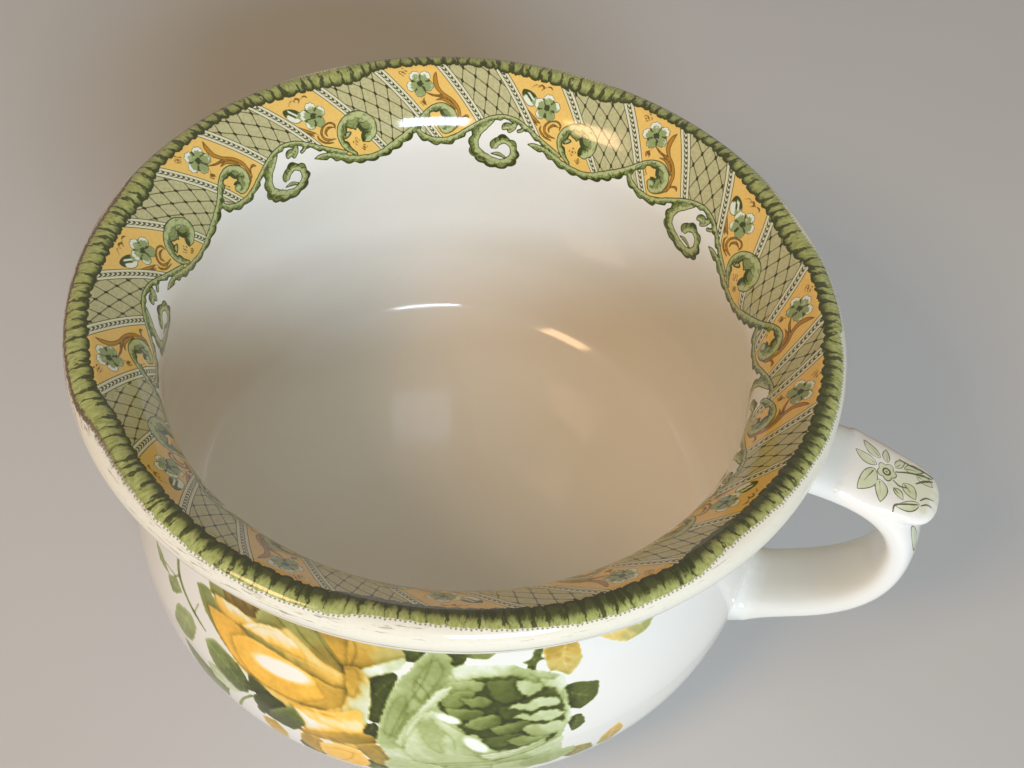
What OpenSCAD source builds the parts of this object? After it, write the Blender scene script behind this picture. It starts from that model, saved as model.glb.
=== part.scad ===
/* [Body] */
// Height from the table to the top of the lip
pot_h = 138; // [120:1:160]
// Diameter over the rolled lip
rim_d = 232; // [224:1:260]
// Diameter of the throat, the narrowest place inside
throat_d = 182.8; // [160:0.2:190]
// Depth of the throat below the top of the lip
throat_drop = 24.5; // [21:0.5:30]
// Diameter of the belly outside, at its widest
belly_d = 215.6; // [204:0.2:236]
// Height of the widest place of the belly
belly_z = 49; // [42:1:58]
// Thickness of the belly wall
wall = 5.5; // [4:0.1:7]
// Thickness of the wall at the neck
neck_wall = 5.8; // [4.5:0.1:7.5]
// Thickness of the floor
floor_t = 6.5; // [5:0.1:9]
// Diameter of the flat part of the floor
floor_d = 112; // [80:1:130]

/* [Lip] */
// Radius of the rolled lip
roll_r = 5.5; // [4.5:0.1:6.5]
// Slope of the flare where it runs into the lip
flare_angle = 42; // [36:1:50]
// Radius of the small bead under the lip
bead_r = 2.8; // [2.2:0.1:3.4]
// How far the bead sits back from the edge of the lip
bead_back = 1.4; // [0.8:0.1:2.2]

/* [Foot] */
// Outside diameter of the foot ring where it meets the bowl
foot_d = 158; // [140:1:172]
// Height of the foot ring
foot_h = 8; // [6:0.5:11]
// Width of the foot ring where it meets the bowl
foot_w = 9.5; // [8:0.5:13]
// Radius of the rounded edges of the foot
foot_edge_r = 2; // [1.2:0.1:2.6]

/* [Handle] */
// How far the middle of the strap stands out from the belly
handle_out = 38.5; // [32:0.5:48]
// Drop from the top of the lip to the middle of the strap at the neck
handle_drop = 22; // [20:0.5:25]
// Drop from the strap's upper end to its outermost place
handle_fall = 26; // [20:1:34]
// Height of the strap's lower end below the widest place of the belly
handle_low = 3; // [-4:0.5:8]
// Width of the strap
strap_w = 26.5; // [20:0.5:30]
// Thickness of the strap
strap_t = 10; // [8:0.2:12]
// Clear length of each slip joint between strap and wall
joint_len = 9; // [7:0.5:13]
// How much wider the slip joint is at the wall
joint_flare = 7; // [3:0.5:11]
// Width of the thumb rest
thumb_w = 21.5; // [16:0.5:25]
// Thickness of the thumb rest
thumb_t = 6; // [5:0.2:8]
// How far the tip of the thumb rest passes the strap's middle line
thumb_out = 5; // [4:0.5:8]
// How far the tip lies below the strap's upper end
thumb_dip = 4; // [3:0.5:6]
// Slope of the flat that the thumb rest is stuck to
seat_tilt = 24; // [18:1:28]
// Depth of that flat below the strap's top
seat_sink = 1.5; // [1:0.1:2.5]

/* [Hidden] */
$fn = 96;

glaze_white = "ivory";
border_green = "darkseagreen";
bare_clay = "wheat";

// points on one stretch of a curve, round a section and along each lofted piece
curve_steps = 14;
ring_sides = 28;
strap_steps = 18;
joint_steps = 5;
leaf_steps = 10;

// radii taken from the diameters
rim_r = rim_d / 2;
throat_r = throat_d / 2;
belly_r = belly_d / 2;
inner_r = belly_r - wall;
foot_r = foot_d / 2;
floor_r = floor_d / 2;

// heights that the pieces share
floor_z = foot_h + floor_t;
throat_z = pot_h - throat_drop;
waist_z = throat_z - neck_wall;
collar_z = waist_z - roll_r;

// the rolled lip and the bead under it
roll_c = [rim_r - roll_r, pot_h - roll_r];
bead_c = [rim_r - bead_back - bead_r, roll_c[1] - (roll_r + bead_r) / 2];
lip_seat_z = bead_c[1] - bead_r - bead_back / 2;
flare_way = [cos(flare_angle), sin(flare_angle)];
flare_end = roll_c + roll_r * [-sin(flare_angle), cos(flare_angle)];
groove_turn = 20;
bead_turn = 238;
bead_end = bead_c + bead_r * [cos(bead_turn), sin(bead_turn)];
bead_pull = roll_r * [1.2, 0.9];

// places on the outline, as radius and height
throat_p = [throat_r, throat_z];
waist_p = [throat_r + neck_wall, waist_z];
belly_p = [belly_r, belly_z];
inner_p = [inner_r, belly_z];
foot_p = [foot_r, foot_h];
floor_p = [floor_r, floor_z];
foot_inset = 1.5 * foot_edge_r;

// reach of the curves from each of these places
waist_pull = [0, (waist_z - belly_z) / 4];
belly_pull = [0, (waist_z - belly_z) / 5];
tuck_pull = [0, (belly_z - foot_h) / 2];
flare_pull = [0, (pot_h - throat_z) * 3 / 7];
foot_pull = [belly_r - foot_r, (belly_z - foot_h) / 4];
floor_pull = [(inner_r - floor_r) * 0.87, 0];

function bezier(a, b, c, d, t) =
    pow(1 - t, 3) * a + 3 * t * pow(1 - t, 2) * b + 3 * t * t * (1 - t) * c + pow(t, 3) * d;
function bezier_way(a, b, c, d, t) =
    pow(1 - t, 2) * (b - a) + 2 * t * (1 - t) * (c - b) + t * t * (d - c);
function curve(a, b, c, d, steps = curve_steps) = [for (i = [0:steps]) bezier(a, b, c, d, i / steps)];
function arc(centre, r, from, to, steps = curve_steps) =
    [for (i = [0:steps]) let (a = from + (to - from) * i / steps) centre + r * [cos(a), sin(a)]];

// outline of the hollow, from the floor's edge up to the flare
inner_line = concat(
    curve(floor_p, floor_p + floor_pull, inner_p - tuck_pull, inner_p),
    curve(inner_p, inner_p + belly_pull, throat_p - waist_pull, throat_p),
    curve(throat_p, throat_p + flare_pull, flare_end - norm(flare_pull) * flare_way, flare_end)
);
// the roll and its bead, over the top and round to the underside
lip_line = concat(
    arc(roll_c, roll_r, 90 + flare_angle, -groove_turn),
    arc(bead_c, bead_r, groove_turn, bead_turn - 360)
);
// outside of the wall, from the bead down to the foot ring
outer_line = concat(
    curve(bead_end, bead_end - bead_pull, waist_p + flare_pull, waist_p),
    curve(waist_p, waist_p - waist_pull, belly_p + belly_pull, belly_p),
    curve(belly_p, belly_p - tuck_pull, foot_p + foot_pull, foot_p)
);
// the foot ring, round its two edges, and up its inside
foot_line = concat(
    arc([foot_r - foot_inset, foot_edge_r], foot_edge_r, 0, -90),
    arc([foot_r - foot_w + foot_inset, foot_edge_r], foot_edge_r, -90, -180),
    [[foot_r - foot_w, foot_h]]
);
body_outline = concat([[0, floor_z]], inner_line, lip_line, outer_line, foot_line, [[0, foot_h]]);
filled_outline = concat([[0, pot_h]], lip_line, outer_line, [[0, foot_h]]);

// the strap's middle line in the plane of the handle, as reach and height
strap_out = belly_r + handle_out;
strap_top = [throat_r + neck_wall + joint_len, pot_h - handle_drop];
strap_side = [strap_out, strap_top[1] - handle_fall];
strap_low = [belly_r + joint_len, belly_z - handle_low];
low_angle = 32;
low_way = [-cos(low_angle), -sin(low_angle)];

// how far each stretch of the strap runs on before it turns, as a share of its span
top_share = 0.7;
rise_share = 0.76;
fall_share = 0.54;
low_share = 0.48;
top_lift = strap_t * 0.3;
top_pull = [(strap_out - strap_top[0]) * top_share, top_lift];
rise_pull = [0, handle_fall * rise_share];
fall_pull = [0, (strap_side[1] - strap_low[1]) * fall_share];
low_pull = (strap_out - strap_low[0]) * low_share * low_way;

function strap_mid(t) = t < 0.5
    ? bezier(strap_top, strap_top + top_pull, strap_side + rise_pull, strap_side, 2 * t)
    : bezier(strap_side, strap_side - fall_pull, strap_low - low_pull, strap_low, 2 * t - 1);
function strap_way(t) = t < 0.5
    ? bezier_way(strap_top, strap_top + top_pull, strap_side + rise_pull, strap_side, 2 * t)
    : bezier_way(strap_side, strap_side - fall_pull, strap_low - low_pull, strap_low, 2 * t - 1);

// the thumb rest runs straight on from the strap's top, above a flat that dips more
thumb_from = 0.1;
seat_at = 0.18;
leaf_bluntness = 9;
leaf_share = 0.99;
function strap_up(t) = let (u = strap_way(t) / norm(strap_way(t))) [-u[1], u[0]];
function leaf_swell(s) = sqrt(1 - pow(s * leaf_share, leaf_bluntness));
thumb_root = strap_mid(thumb_from) + strap_up(thumb_from) * (strap_t - thumb_t) / 2;
thumb_tip = [strap_out + thumb_out, strap_top[1] - thumb_dip];
thumb_way = thumb_tip - thumb_root;
thumb_seat = strap_mid(seat_at) + strap_up(seat_at) * (strap_t / 2 - seat_sink);

// a rounded section, width across the handle and thickness through it
squareness = 0.72;
function rounded(v) = sign(v) * pow(abs(v), squareness);
function section(centre, way, w, t) = let (u = way / norm(way)) [
    for (i = [0:ring_sides - 1])
        let (a = 360 * i / ring_sides, across = rounded(cos(a)) * w / 2, through = rounded(sin(a)) * t / 2)
        [centre[0] - u[1] * through, across, centre[1] + u[0] * through]
];

// a closed tube through a row of sections
module loft(rings) {
    n = len(rings[0]);
    last = len(rings) - 1;
    sides = [
        for (k = [0:last - 1], i = [0:n - 1], half = [0:1])
            let (j = (i + 1) % n, a = k * n + i, b = k * n + j, c = a + n, d = b + n)
            half == 0 ? [a, b, d] : [a, d, c]
    ];
    start = [for (i = [1:n - 2]) [0, i + 1, i]];
    end = [for (i = [1:n - 2]) [last * n, last * n + i, last * n + i + 1]];
    polyhedron([for (ring = rings) each ring], concat(sides, start, end));
}

// a slice of the turned body between two heights
module body_slice(low, high) {
    intersection() {
        rotate_extrude() polygon(body_outline);
        translate([0, 0, low]) cylinder(r = 2 * rim_r, h = high - low);
    }
}

// the body with its hollow filled, to shape what is stuck on its outside
module body_filled() {
    rotate_extrude() polygon(filled_outline);
}

module strap_tube() {
    loft([for (i = [0:strap_steps]) let (t = i / strap_steps)
        section(strap_mid(t), strap_way(t), strap_w, strap_t)]);
}

// the space above the flat on the strap's shoulder
module above_thumb_seat() {
    translate([thumb_seat[0], -strap_out / 2, thumb_seat[1]])
        rotate([0, seat_tilt, 0])
        translate([-strap_out / 2, 0, 0])
        cube([strap_out, strap_out, strap_t + thumb_t]);
}

// a slip joint that spreads from the strap's end to the wall
module spread_joint(end, way) {
    reach = joint_len + 2 * wall;
    difference() {
        loft([for (i = [0:joint_steps]) let (s = i / joint_steps, grow = joint_flare * s * s)
            section(end + way * s * reach, way, strap_w + 2 * grow, strap_t + grow)]);
        body_filled();
    }
}

// Turned ring that the pot stands on
module foot_ring() {
    color(bare_clay) body_slice(0, foot_h);
}

// Belly wall and floor
module bowl() {
    color(glaze_white) body_slice(foot_h, collar_z);
}

// Neck and the lower part of the flare
module collar() {
    color(glaze_white) body_slice(collar_z, lip_seat_z);
}

// Rolled lip with its bead
module lip_roll() {
    color(border_green) body_slice(lip_seat_z, pot_h);
}

// Strap of the handle, with a flat on its shoulder for the thumb rest
module handle_strap() {
    color(glaze_white) difference() {
        strap_tube();
        above_thumb_seat();
    }
}

// Leaf-shaped rest for the thumb, seated on the flat
module thumb_rest() {
    color(glaze_white) intersection() {
        loft([for (i = [0:leaf_steps]) let (s = i / leaf_steps, swell = leaf_swell(s))
            section(thumb_root + thumb_way * s, thumb_way, thumb_w * swell, thumb_t * swell)]);
        above_thumb_seat();
    }
}

// Slip joint between the strap and the neck
module upper_joint() {
    color(glaze_white) spread_joint(strap_top, -top_pull / norm(top_pull));
}

// Slip joint between the strap and the belly
module lower_joint() {
    color(glaze_white) spread_joint(strap_low, low_way);
}

foot_ring();
bowl();
collar();
lip_roll();
handle_strap();
thumb_rest();
upper_joint();
lower_joint();
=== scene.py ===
import math

import bmesh
import bpy
import numpy as np
from mathutils import Matrix, Quaternion, Vector

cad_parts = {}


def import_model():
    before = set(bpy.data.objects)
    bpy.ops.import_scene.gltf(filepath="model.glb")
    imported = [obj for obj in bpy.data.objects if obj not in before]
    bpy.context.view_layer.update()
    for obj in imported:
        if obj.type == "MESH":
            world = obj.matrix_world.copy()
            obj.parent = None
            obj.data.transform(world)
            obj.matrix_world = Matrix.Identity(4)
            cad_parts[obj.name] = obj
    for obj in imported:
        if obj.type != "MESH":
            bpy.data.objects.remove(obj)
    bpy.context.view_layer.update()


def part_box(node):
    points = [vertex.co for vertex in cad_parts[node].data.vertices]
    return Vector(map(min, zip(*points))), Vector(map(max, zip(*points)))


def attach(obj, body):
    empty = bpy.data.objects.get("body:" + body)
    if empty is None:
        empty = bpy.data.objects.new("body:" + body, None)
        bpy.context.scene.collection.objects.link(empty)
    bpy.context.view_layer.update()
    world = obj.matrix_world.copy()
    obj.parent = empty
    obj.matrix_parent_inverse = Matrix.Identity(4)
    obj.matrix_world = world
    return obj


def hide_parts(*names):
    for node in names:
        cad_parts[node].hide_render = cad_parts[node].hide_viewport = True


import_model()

mm = 0.001  # the frame is in metres, every size below is in millimetres
scene = bpy.context.scene


def lowest(node):
    return np.array(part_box(node)[0]) / mm


def highest(node):
    return np.array(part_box(node)[1]) / mm


# Camera and studio

studio = {
    "cameraAt": (89.1, -251.6, 420.7),
    "looksAt": (25.63, -26.17, 135.5),
    "cameraRoll": 6.38,      # degrees, tilt of the photograph
    "lens": 45.7,
    "sensor": 36,
    "clip": (0.01, 20),      # metres
    "floorSize": 12000.0,
    "floorColour": (208, 207, 205),
    "floorShade": 0.97,
    "floorCloud": 6.0,
    "floorRoughness": 0.8,
    "skyColour": (252, 236, 206),
    "skyStrength": 0.262,
    "backdropColour": (196, 194, 190),
    # place, aim, width and height, watts, colour
    "lamps": (
        ("windowLamp", (1330, -2020, 1240), (0, 40, 100), (1000, 700), 66.5, (218, 236, 255)),
        ("warmLamp", (-500, -970, 1130), (20, 30, 40), (380, 380), 6.5, (255, 206, 156)),
    ),
}


def linear(colour):
    share = np.array(colour, float) / 255
    low = share / 12.92
    high = ((share + 0.055) / 1.055) ** 2.4
    return (*np.where(share <= 0.04045, low, high).tolist(), 1.0)


def aimed(place, target, roll=0.0):
    way = Vector(target) - Vector(place)
    turn = way.to_track_quat("-Z", "Y")
    return turn @ Quaternion((0, 0, 1), math.radians(roll))


def setCamera():
    data = bpy.data.cameras.new("photoView")
    data.lens = studio["lens"]
    data.sensor_width = studio["sensor"]
    data.clip_start, data.clip_end = studio["clip"]
    camera = bpy.data.objects.new("photoView", data)
    scene.collection.objects.link(camera)
    camera.location = Vector(studio["cameraAt"]) * mm
    camera.rotation_mode = "QUATERNION"
    camera.rotation_quaternion = aimed(studio["cameraAt"], studio["looksAt"], studio["cameraRoll"])
    scene.camera = camera


def setLamps():
    for name, place, target, size, watts, colour in studio["lamps"]:
        data = bpy.data.lights.new(name, "AREA")
        data.shape = "RECTANGLE"
        data.size, data.size_y = size[0] * mm, size[1] * mm
        data.energy = watts
        data.color = linear(colour)[:3]
        lamp = bpy.data.objects.new(name, data)
        scene.collection.objects.link(lamp)
        lamp.location = Vector(place) * mm
        lamp.rotation_mode = "QUATERNION"
        lamp.rotation_quaternion = aimed(place, target)
    world = bpy.data.worlds.new("studioSky")
    world.use_nodes = True
    nodes, links = world.node_tree.nodes, world.node_tree.links
    sky = nodes["Background"]
    sky.inputs["Color"].default_value = linear(studio["skyColour"])
    sky.inputs["Strength"].default_value = studio["skyStrength"]
    # what the camera and the glaze see behind the floor
    backdrop = nodes.new("ShaderNodeBackground")
    backdrop.inputs["Color"].default_value = linear(studio["backdropColour"])
    ray = nodes.new("ShaderNodeLightPath")
    seen = ray.outputs["Is Camera Ray"]
    for kind in ("Is Glossy Ray", "Is Transmission Ray"):
        either = nodes.new("ShaderNodeMath")
        either.operation = "MAXIMUM"
        links.new(seen, either.inputs[0])
        links.new(ray.outputs[kind], either.inputs[1])
        seen = either.outputs[0]
    choice = nodes.new("ShaderNodeMixShader")
    links.new(seen, choice.inputs[0])
    links.new(sky.outputs[0], choice.inputs[1])
    links.new(backdrop.outputs[0], choice.inputs[2])
    links.new(choice.outputs[0], nodes["World Output"].inputs["Surface"])
    scene.world = world


scene.view_settings.view_transform = "Standard"
setCamera()
setLamps()
print("camera and lamps set")


# The pot's shape: one line that runs up the inside, over the lip and down the outside

pot = {
    "throatRadius": 91.4,
    "throatDrop": 24.5,
    "bellyHeight": 49.0,
    "wall": 5.5,
    "neckWall": 5.8,
    "floorHeight": 14.5,
    "floorRadius": 56.0,
    "rollRadius": 5.5,
    "flareAngle": 42.0,
    "beadRadius": 2.8,
    "beadBack": 1.4,
    "footWide": 9.5,
    "footEdge": 2.0,
    "footTaper": 1.5,        # how far in the foot's rounded edges have their centres, in edge radii
    "floorFullness": 0.87,   # how square the inside turns from floor to wall
    "flarePull": 10.5,       # how long the throat holds its line before it flares
    "beadPull": (1.2, 0.9),  # how far in and down the line runs on under the bead, in roll radii
    "rollEnd": -20.0,        # degrees where the roll ends, then where the bead starts and ends
    "beadTurns": (20.0, -122.0),
}
potHeight = highest("lip_roll")[2]
rimRadius = highest("lip_roll")[1]
bellyRadius = highest("bowl")[1]
footRadius = highest("foot_ring")[1]
footTop = highest("foot_ring")[2]
collarSeam = lowest("collar")[2]
lipSeam = lowest("lip_roll")[2]


def bezier(a, b, c, d, count=400):
    t = np.linspace(0, 1, count)[:, None]
    a, b, c, d = (np.asarray(p, float) for p in (a, b, c, d))
    return (1 - t) ** 3 * a + 3 * t * (1 - t) ** 2 * b + 3 * t * t * (1 - t) * c + t ** 3 * d


def arc(centre, radius, fromAngle, toAngle, count=160):
    turn = np.radians(np.linspace(fromAngle, toAngle, count))
    return np.asarray(centre) + radius * np.stack([np.cos(turn), np.sin(turn)], 1)


def joined(*runs):
    line = np.concatenate(runs)
    fresh = np.hypot(*np.diff(line, axis=0).T) > 1e-6
    return line[np.concatenate([[True], fresh])]


throat = np.array([pot["throatRadius"], potHeight - pot["throatDrop"]])
innerBelly = np.array([bellyRadius - pot["wall"], pot["bellyHeight"]])
outerBelly = np.array([bellyRadius, pot["bellyHeight"]])
waist = throat + (pot["neckWall"], -pot["neckWall"])
floorEdge = np.array([pot["floorRadius"], pot["floorHeight"]])
footEdge = np.array([footRadius, footTop])
rollCentre = np.array([rimRadius - pot["rollRadius"], potHeight - pot["rollRadius"]])
beadCentre = np.array([
    rimRadius - pot["beadBack"] - pot["beadRadius"],
    lipSeam + pot["beadRadius"] + pot["beadBack"] / 2,
])
rise = waist[1] - pot["bellyHeight"]
tuck = np.array([0, (pot["bellyHeight"] - footTop) / 2])
bellyPull = np.array([0, rise / 5])
waistPull = np.array([0, rise / 4])
flarePull = pot["flarePull"]
flare = math.radians(pot["flareAngle"])
flareWay = np.array([math.cos(flare), math.sin(flare)])

rollArc = arc(rollCentre, pot["rollRadius"], 90 + pot["flareAngle"], pot["rollEnd"])
beadArc = arc(beadCentre, pot["beadRadius"], *pot["beadTurns"])
flareEnd = rollArc[0]
beadEnd = beadArc[-1]
floorPull = np.array([(innerBelly[0] - floorEdge[0]) * pot["floorFullness"], 0])
beadPull = pot["rollRadius"] * np.array(pot["beadPull"])
footPull = np.array([bellyRadius - footRadius, tuck[1] / 2])

insideWall = joined(
    np.linspace((0, pot["floorHeight"]), floorEdge, 200),
    bezier(floorEdge, floorEdge + floorPull, innerBelly - tuck, innerBelly),
    bezier(innerBelly, innerBelly + bellyPull, throat - waistPull, throat),
    bezier(throat, throat + (0, flarePull), flareEnd - flarePull * flareWay, flareEnd),
)
lipRound = joined(rollArc, beadArc)
outsideWall = joined(
    bezier(beadEnd, beadEnd - beadPull, waist + (0, flarePull), waist),
    bezier(waist, waist - waistPull, outerBelly + bellyPull, outerBelly),
    bezier(outerBelly, outerBelly - tuck, footEdge + footPull, footEdge),
)
footInner = footRadius - pot["footWide"]
edgeRadius = pot["footEdge"]
leanIn = pot["footTaper"] * edgeRadius
footWall = joined(
    np.array([footEdge]),
    arc((footRadius - leanIn, edgeRadius), edgeRadius, 0, -90, 14),
    arc((footInner + leanIn, edgeRadius), edgeRadius, -90, -180, 14),
    np.array([[footInner, footTop]]),
)
wholeLine = joined(insideWall, lipRound, outsideWall, footWall)


def lengthAlong(line):
    return np.concatenate([[0], np.cumsum(np.hypot(*np.diff(line, axis=0).T))])


def outwardOf(line):
    way = np.gradient(line, axis=0)
    way /= np.hypot(*way.T)[:, None]
    return np.stack([-way[:, 1], way[:, 0]], 1)


lineLength = lengthAlong(wholeLine)
lineOutward = outwardOf(wholeLine)


def lengthAt(point):
    return lineLength[np.argmin(np.hypot(*(wholeLine - point).T))]


flareLength = lengthAt(flareEnd)
outsideAtSeam = np.array([np.interp(-collarSeam, -outsideWall[:, 1], outsideWall[:, 0]), collarSeam])
seamLength = lengthAt(outsideAtSeam)


def spaced(line, step):
    along = lengthAlong(line)
    count = max(2, math.ceil(along[-1] / step) + 1)
    at = np.linspace(0, along[-1], count)
    return np.stack([np.interp(at, along, line[:, 0]), np.interp(at, along, line[:, 1])], 1)


def between(line, low, high):
    rising = line if line[-1, 1] > line[0, 1] else line[::-1]
    heights = rising[:, 1]
    ends = [(np.interp(z, heights, rising[:, 0]), z) for z in (max(low, heights[0]), min(high, heights[-1]))]
    inner = rising[(heights > ends[0][1]) & (heights < ends[1][1])]
    cut = np.concatenate([[ends[0]], inner, [ends[1]]])
    return joined(cut if rising is line else cut[::-1])


def beyond(line, along):
    reach = lengthAlong(line)
    return line[reach >= along]


def before(line, along):
    reach = lengthAlong(line)
    return line[reach <= along]


# Spun pieces

def profileEdges(bm, points, closed):
    verts = [bm.verts.new((r * mm, 0, z * mm)) for r, z in points]
    pairs = list(zip(verts, verts[1:])) + ([(verts[-1], verts[0])] if closed else [])
    return verts + [bm.edges.new(pair) for pair in pairs]


# Spins a profile as wedges and lays them side by side, which is quicker than one long spin
def lathe(bm, points, closed, start, turn, columns, wedges=8):
    wedge = bmesh.new()
    step = math.radians(turn / wedges)
    bmesh.ops.spin(
        wedge, geom=profileEdges(wedge, points, closed), cent=(0, 0, 0), axis=(0, 0, 1), dvec=(0, 0, 0),
        angle=step, steps=columns // wedges, use_merge=False, use_duplicate=False,
    )
    mesh = bpy.data.meshes.new("wedge")
    wedge.to_mesh(mesh)
    wedge.free()
    mesh.transform(Matrix.Rotation(math.radians(start), 4, "Z"))
    for _ in range(wedges):
        bm.from_mesh(mesh)
        mesh.transform(Matrix.Rotation(step, 4, "Z"))
    bpy.data.meshes.remove(mesh)
    bmesh.ops.remove_doubles(bm, verts=bm.verts[:], dist=1e-6)


def meshFrom(bm, name):
    bmesh.ops.remove_doubles(bm, verts=bm.verts[:], dist=1e-7)
    bmesh.ops.recalc_face_normals(bm, faces=bm.faces[:])
    mesh = bpy.data.meshes.new(name)
    bm.to_mesh(mesh)
    bm.free()
    piece = bpy.data.objects.new(name, mesh)
    scene.collection.objects.link(piece)
    return piece


def coordsOf(mesh):
    co = np.empty(len(mesh.vertices) * 3, np.float32)
    mesh.vertices.foreach_get("co", co)
    return co.reshape(-1, 3).astype(float) / mm


# Where each vertex lies on the pot's line: turn in degrees, length along the line, normal
def layOf(mesh):
    co = coordsOf(mesh)
    radius = np.hypot(co[:, 0], co[:, 1])
    turn = np.arctan2(co[:, 1], co[:, 0])
    keys, back = np.unique(np.round(np.stack([radius, co[:, 2]], 1), 2), axis=0, return_inverse=True)
    nearest = np.array([np.argmin(np.hypot(*(wholeLine - key).T)) for key in keys])[back.ravel()]
    out = lineOutward[nearest]
    normal = np.stack([out[:, 0] * np.cos(turn), out[:, 0] * np.sin(turn), out[:, 1]], 1)
    return {
        "turn": np.degrees(turn), "along": lineLength[nearest], "normal": normal,
        "radius": radius, "height": co[:, 2],
    }


def smoothSkin(mesh, normal):
    mesh.polygons.foreach_set("use_smooth", np.ones(len(mesh.polygons), bool))
    mesh.normals_split_custom_set_from_vertices(normal.tolist())


def addField(mesh, name, values):
    field = mesh.attributes.new(name, "FLOAT", "POINT")
    field.data.foreach_set("value", np.asarray(values, np.float32))


def cornersOf(mesh):
    vertex = np.empty(len(mesh.loops), np.int32)
    mesh.loops.foreach_get("vertex_index", vertex)
    count = np.empty(len(mesh.polygons), np.int32)
    mesh.polygons.foreach_get("loop_total", count)
    return vertex, np.repeat(np.arange(len(count)), count)


def faceMean(values, face, vertex):
    total = np.bincount(face, values[vertex])
    return (total / np.bincount(face))[face]


# Turn of every face corner, kept whole across the back of the ring
def cornerTurns(turn, face, vertex):
    spin = np.radians(turn)
    middle = np.arctan2(faceMean(np.sin(spin), face, vertex), faceMean(np.cos(spin), face, vertex))
    middle = np.degrees(middle)
    return middle, middle + (turn[vertex] - middle + 180) % 360 - 180


def addMap(mesh, name, u, v):
    layer = mesh.uv_layers.new(name=name)
    layer.data.foreach_set("uv", np.stack([u, v], 1).astype(np.float32).ravel())


# A map for the finish: the ring is cut in rows that are stacked to fill the square
def addFinishMap(mesh, lay, rows, share):
    vertex, face = cornersOf(mesh)
    middle, turn = cornerTurns(lay["turn"], face, vertex)
    row = np.floor((middle + 180) / 360 * rows).clip(0, rows - 1)
    u = (turn + 180) / 360 * rows - row
    margin = 0.01
    v = (row + margin + share[vertex] * (1 - 2 * margin)) / rows
    addMap(mesh, "OFBake", margin + u.clip(0, 1) * (1 - 2 * margin), v)


# Border pattern of the rim: strips of a transfer, laid clockwise round the flare
# u runs along a strip and v down the flare from the lip's round, in mm on a 100 mm circle

border = {
    "stripStarts": (224.6, 175.7, 127.9, 79.9, 30.1, 11.5, -36.9, -85.9),  # degrees round the pot
    "cutStrip": 4,        # this strip was cut short where the ring closes
    "unit": 85.0,         # length of a whole strip
    "slant": 0.77,        # lean of the rope lines, u for each v
    "shift": 2.2,         # u where a strip starts
    "ropes": (2.9, 24.2, 43.7, 65.0),
    "ropeHalf": 1.65,
    "cordHalf": 0.6,
    "latticeA": (4.26, 2.85),
    "latticeB": (-0.15, 4.55),
    # inner and outer edge of the gadroon round the lip: u, v, v
    "gadroon": (
        (0, -1.5, -7.8), (8, -1.6, -8.0), (18, -1.6, -8.3), (30, -1.8, -8.0), (38, -1.2, -7.2),
        (44, -0.3, -6.9), (52, 0.4, -6.4), (60, 0.7, -5.7), (68, 1.4, -5.2), (75, 1.8, -5.6), (80, 0.6, -7.0),
    ),
    # lower edge of the printed ground: u, v
    "groundEdge": (
        (0, 28.2), (5, 26.2), (10, 22), (13.6, 18.6), (15.2, 20.8), (17, 23.2), (22, 24.6), (27, 23.6),
        (32, 20.9), (36, 18.4), (40, 16.4), (44, 15.1), (48, 15.1), (52, 16.1), (56, 18), (60, 20.2),
        (64, 22.4), (68, 25), (73, 27.6), (79, 28.8), (85, 28.2),
    ),
}

# acanthus bands: u, v, half width; the last value is how many leaf teeth the edge has
greenBands = (
    ((
        (56.6, 23.2, 0.4), (59, 23.3, 1.1), (63, 23.9, 1.1), (68, 26.2, 1.4), (73, 28, 1.5),
        (79, 28.8, 1.5), (84, 27.7, 1.5), (89, 25, 1.6), (94, 22, 1.5), (98.4, 18.6, 1.3),
        (101.5, 15.3, 1.1), (105, 12.9, 1.1), (109, 13.3, 1.8), (111.6, 16.3, 2.1), (111.2, 19.3, 2),
        (109, 20.6, 1.8), (107.6, 19.4, 1.5),
    ), 14),
    ((
        (12.6, 19.4, 0.9), (14.2, 21.8, 1.1), (16.8, 23.6, 1.2), (20, 24.7, 1.3), (24, 24.9, 1.4),
        (28, 23.5, 1.3), (32, 20.9, 1.0), (36, 18.4, 0.9), (40, 16.4, 0.9), (44, 15.1, 0.9),
        (48, 15, 0.9), (52, 16, 0.9), (56, 18, 0.9), (60, 20.2, 0.9), (64, 22.2, 1.0), (69, 24.6, 1.1),
    ), 12),
    ((
        (73.5, 26, 0.8), (70.2, 23, 1.1), (68.5, 19.8, 1.2), (68.7, 16.8, 1.4), (70.8, 14.3, 1.6),
        (74.2, 13.3, 2.2), (77.8, 14, 2.6), (80.2, 16.4, 2.5), (80.4, 19, 2.2), (78.9, 20.8, 1.8),
    ), 5),
    ((
        (42.2, 16.6, 0.5), (39.6, 18.3, 1.4), (36.9, 21, 1.5), (35.5, 24.4, 1.6), (35.9, 27.8, 1.8),
        (38.5, 30.8, 2.2), (42.5, 33, 2.2), (46.8, 33.4, 2), (50, 31.2, 1.8), (51.2, 27.8, 1.5),
        (50.1, 24.6, 1.3), (47.2, 23.2, 1.3), (44.6, 24, 1.6), (43.6, 25.6, 1.4),
    ), 12),
    (((50.8, 16.4, 0.5), (49.2, 17.6, 0.9), (47, 18, 1.3), (46.2, 18.8, 0.8)), 0),
    (((51.2, 16.6, 0.4), (50, 18.4, 0.8), (48.6, 19.4, 0.9)), 0),
    (((54.5, 17.6, 0.3), (53.4, 18.5, 0.7), (52, 19.1, 0.7)), 0),
    (((42.2, 29.4, 0.3), (45, 29.2, 1.0), (47.6, 30.2, 0.6)), 0),
    (((70.2, 19.6, 0.3), (71.4, 18.4, 0.9), (72.6, 17.9, 0.4)), 0),
    (((72.3, 14.6, 0.3), (74.2, 15.8, 0.9), (74.6, 17.2, 0.4)), 0),
)

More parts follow.
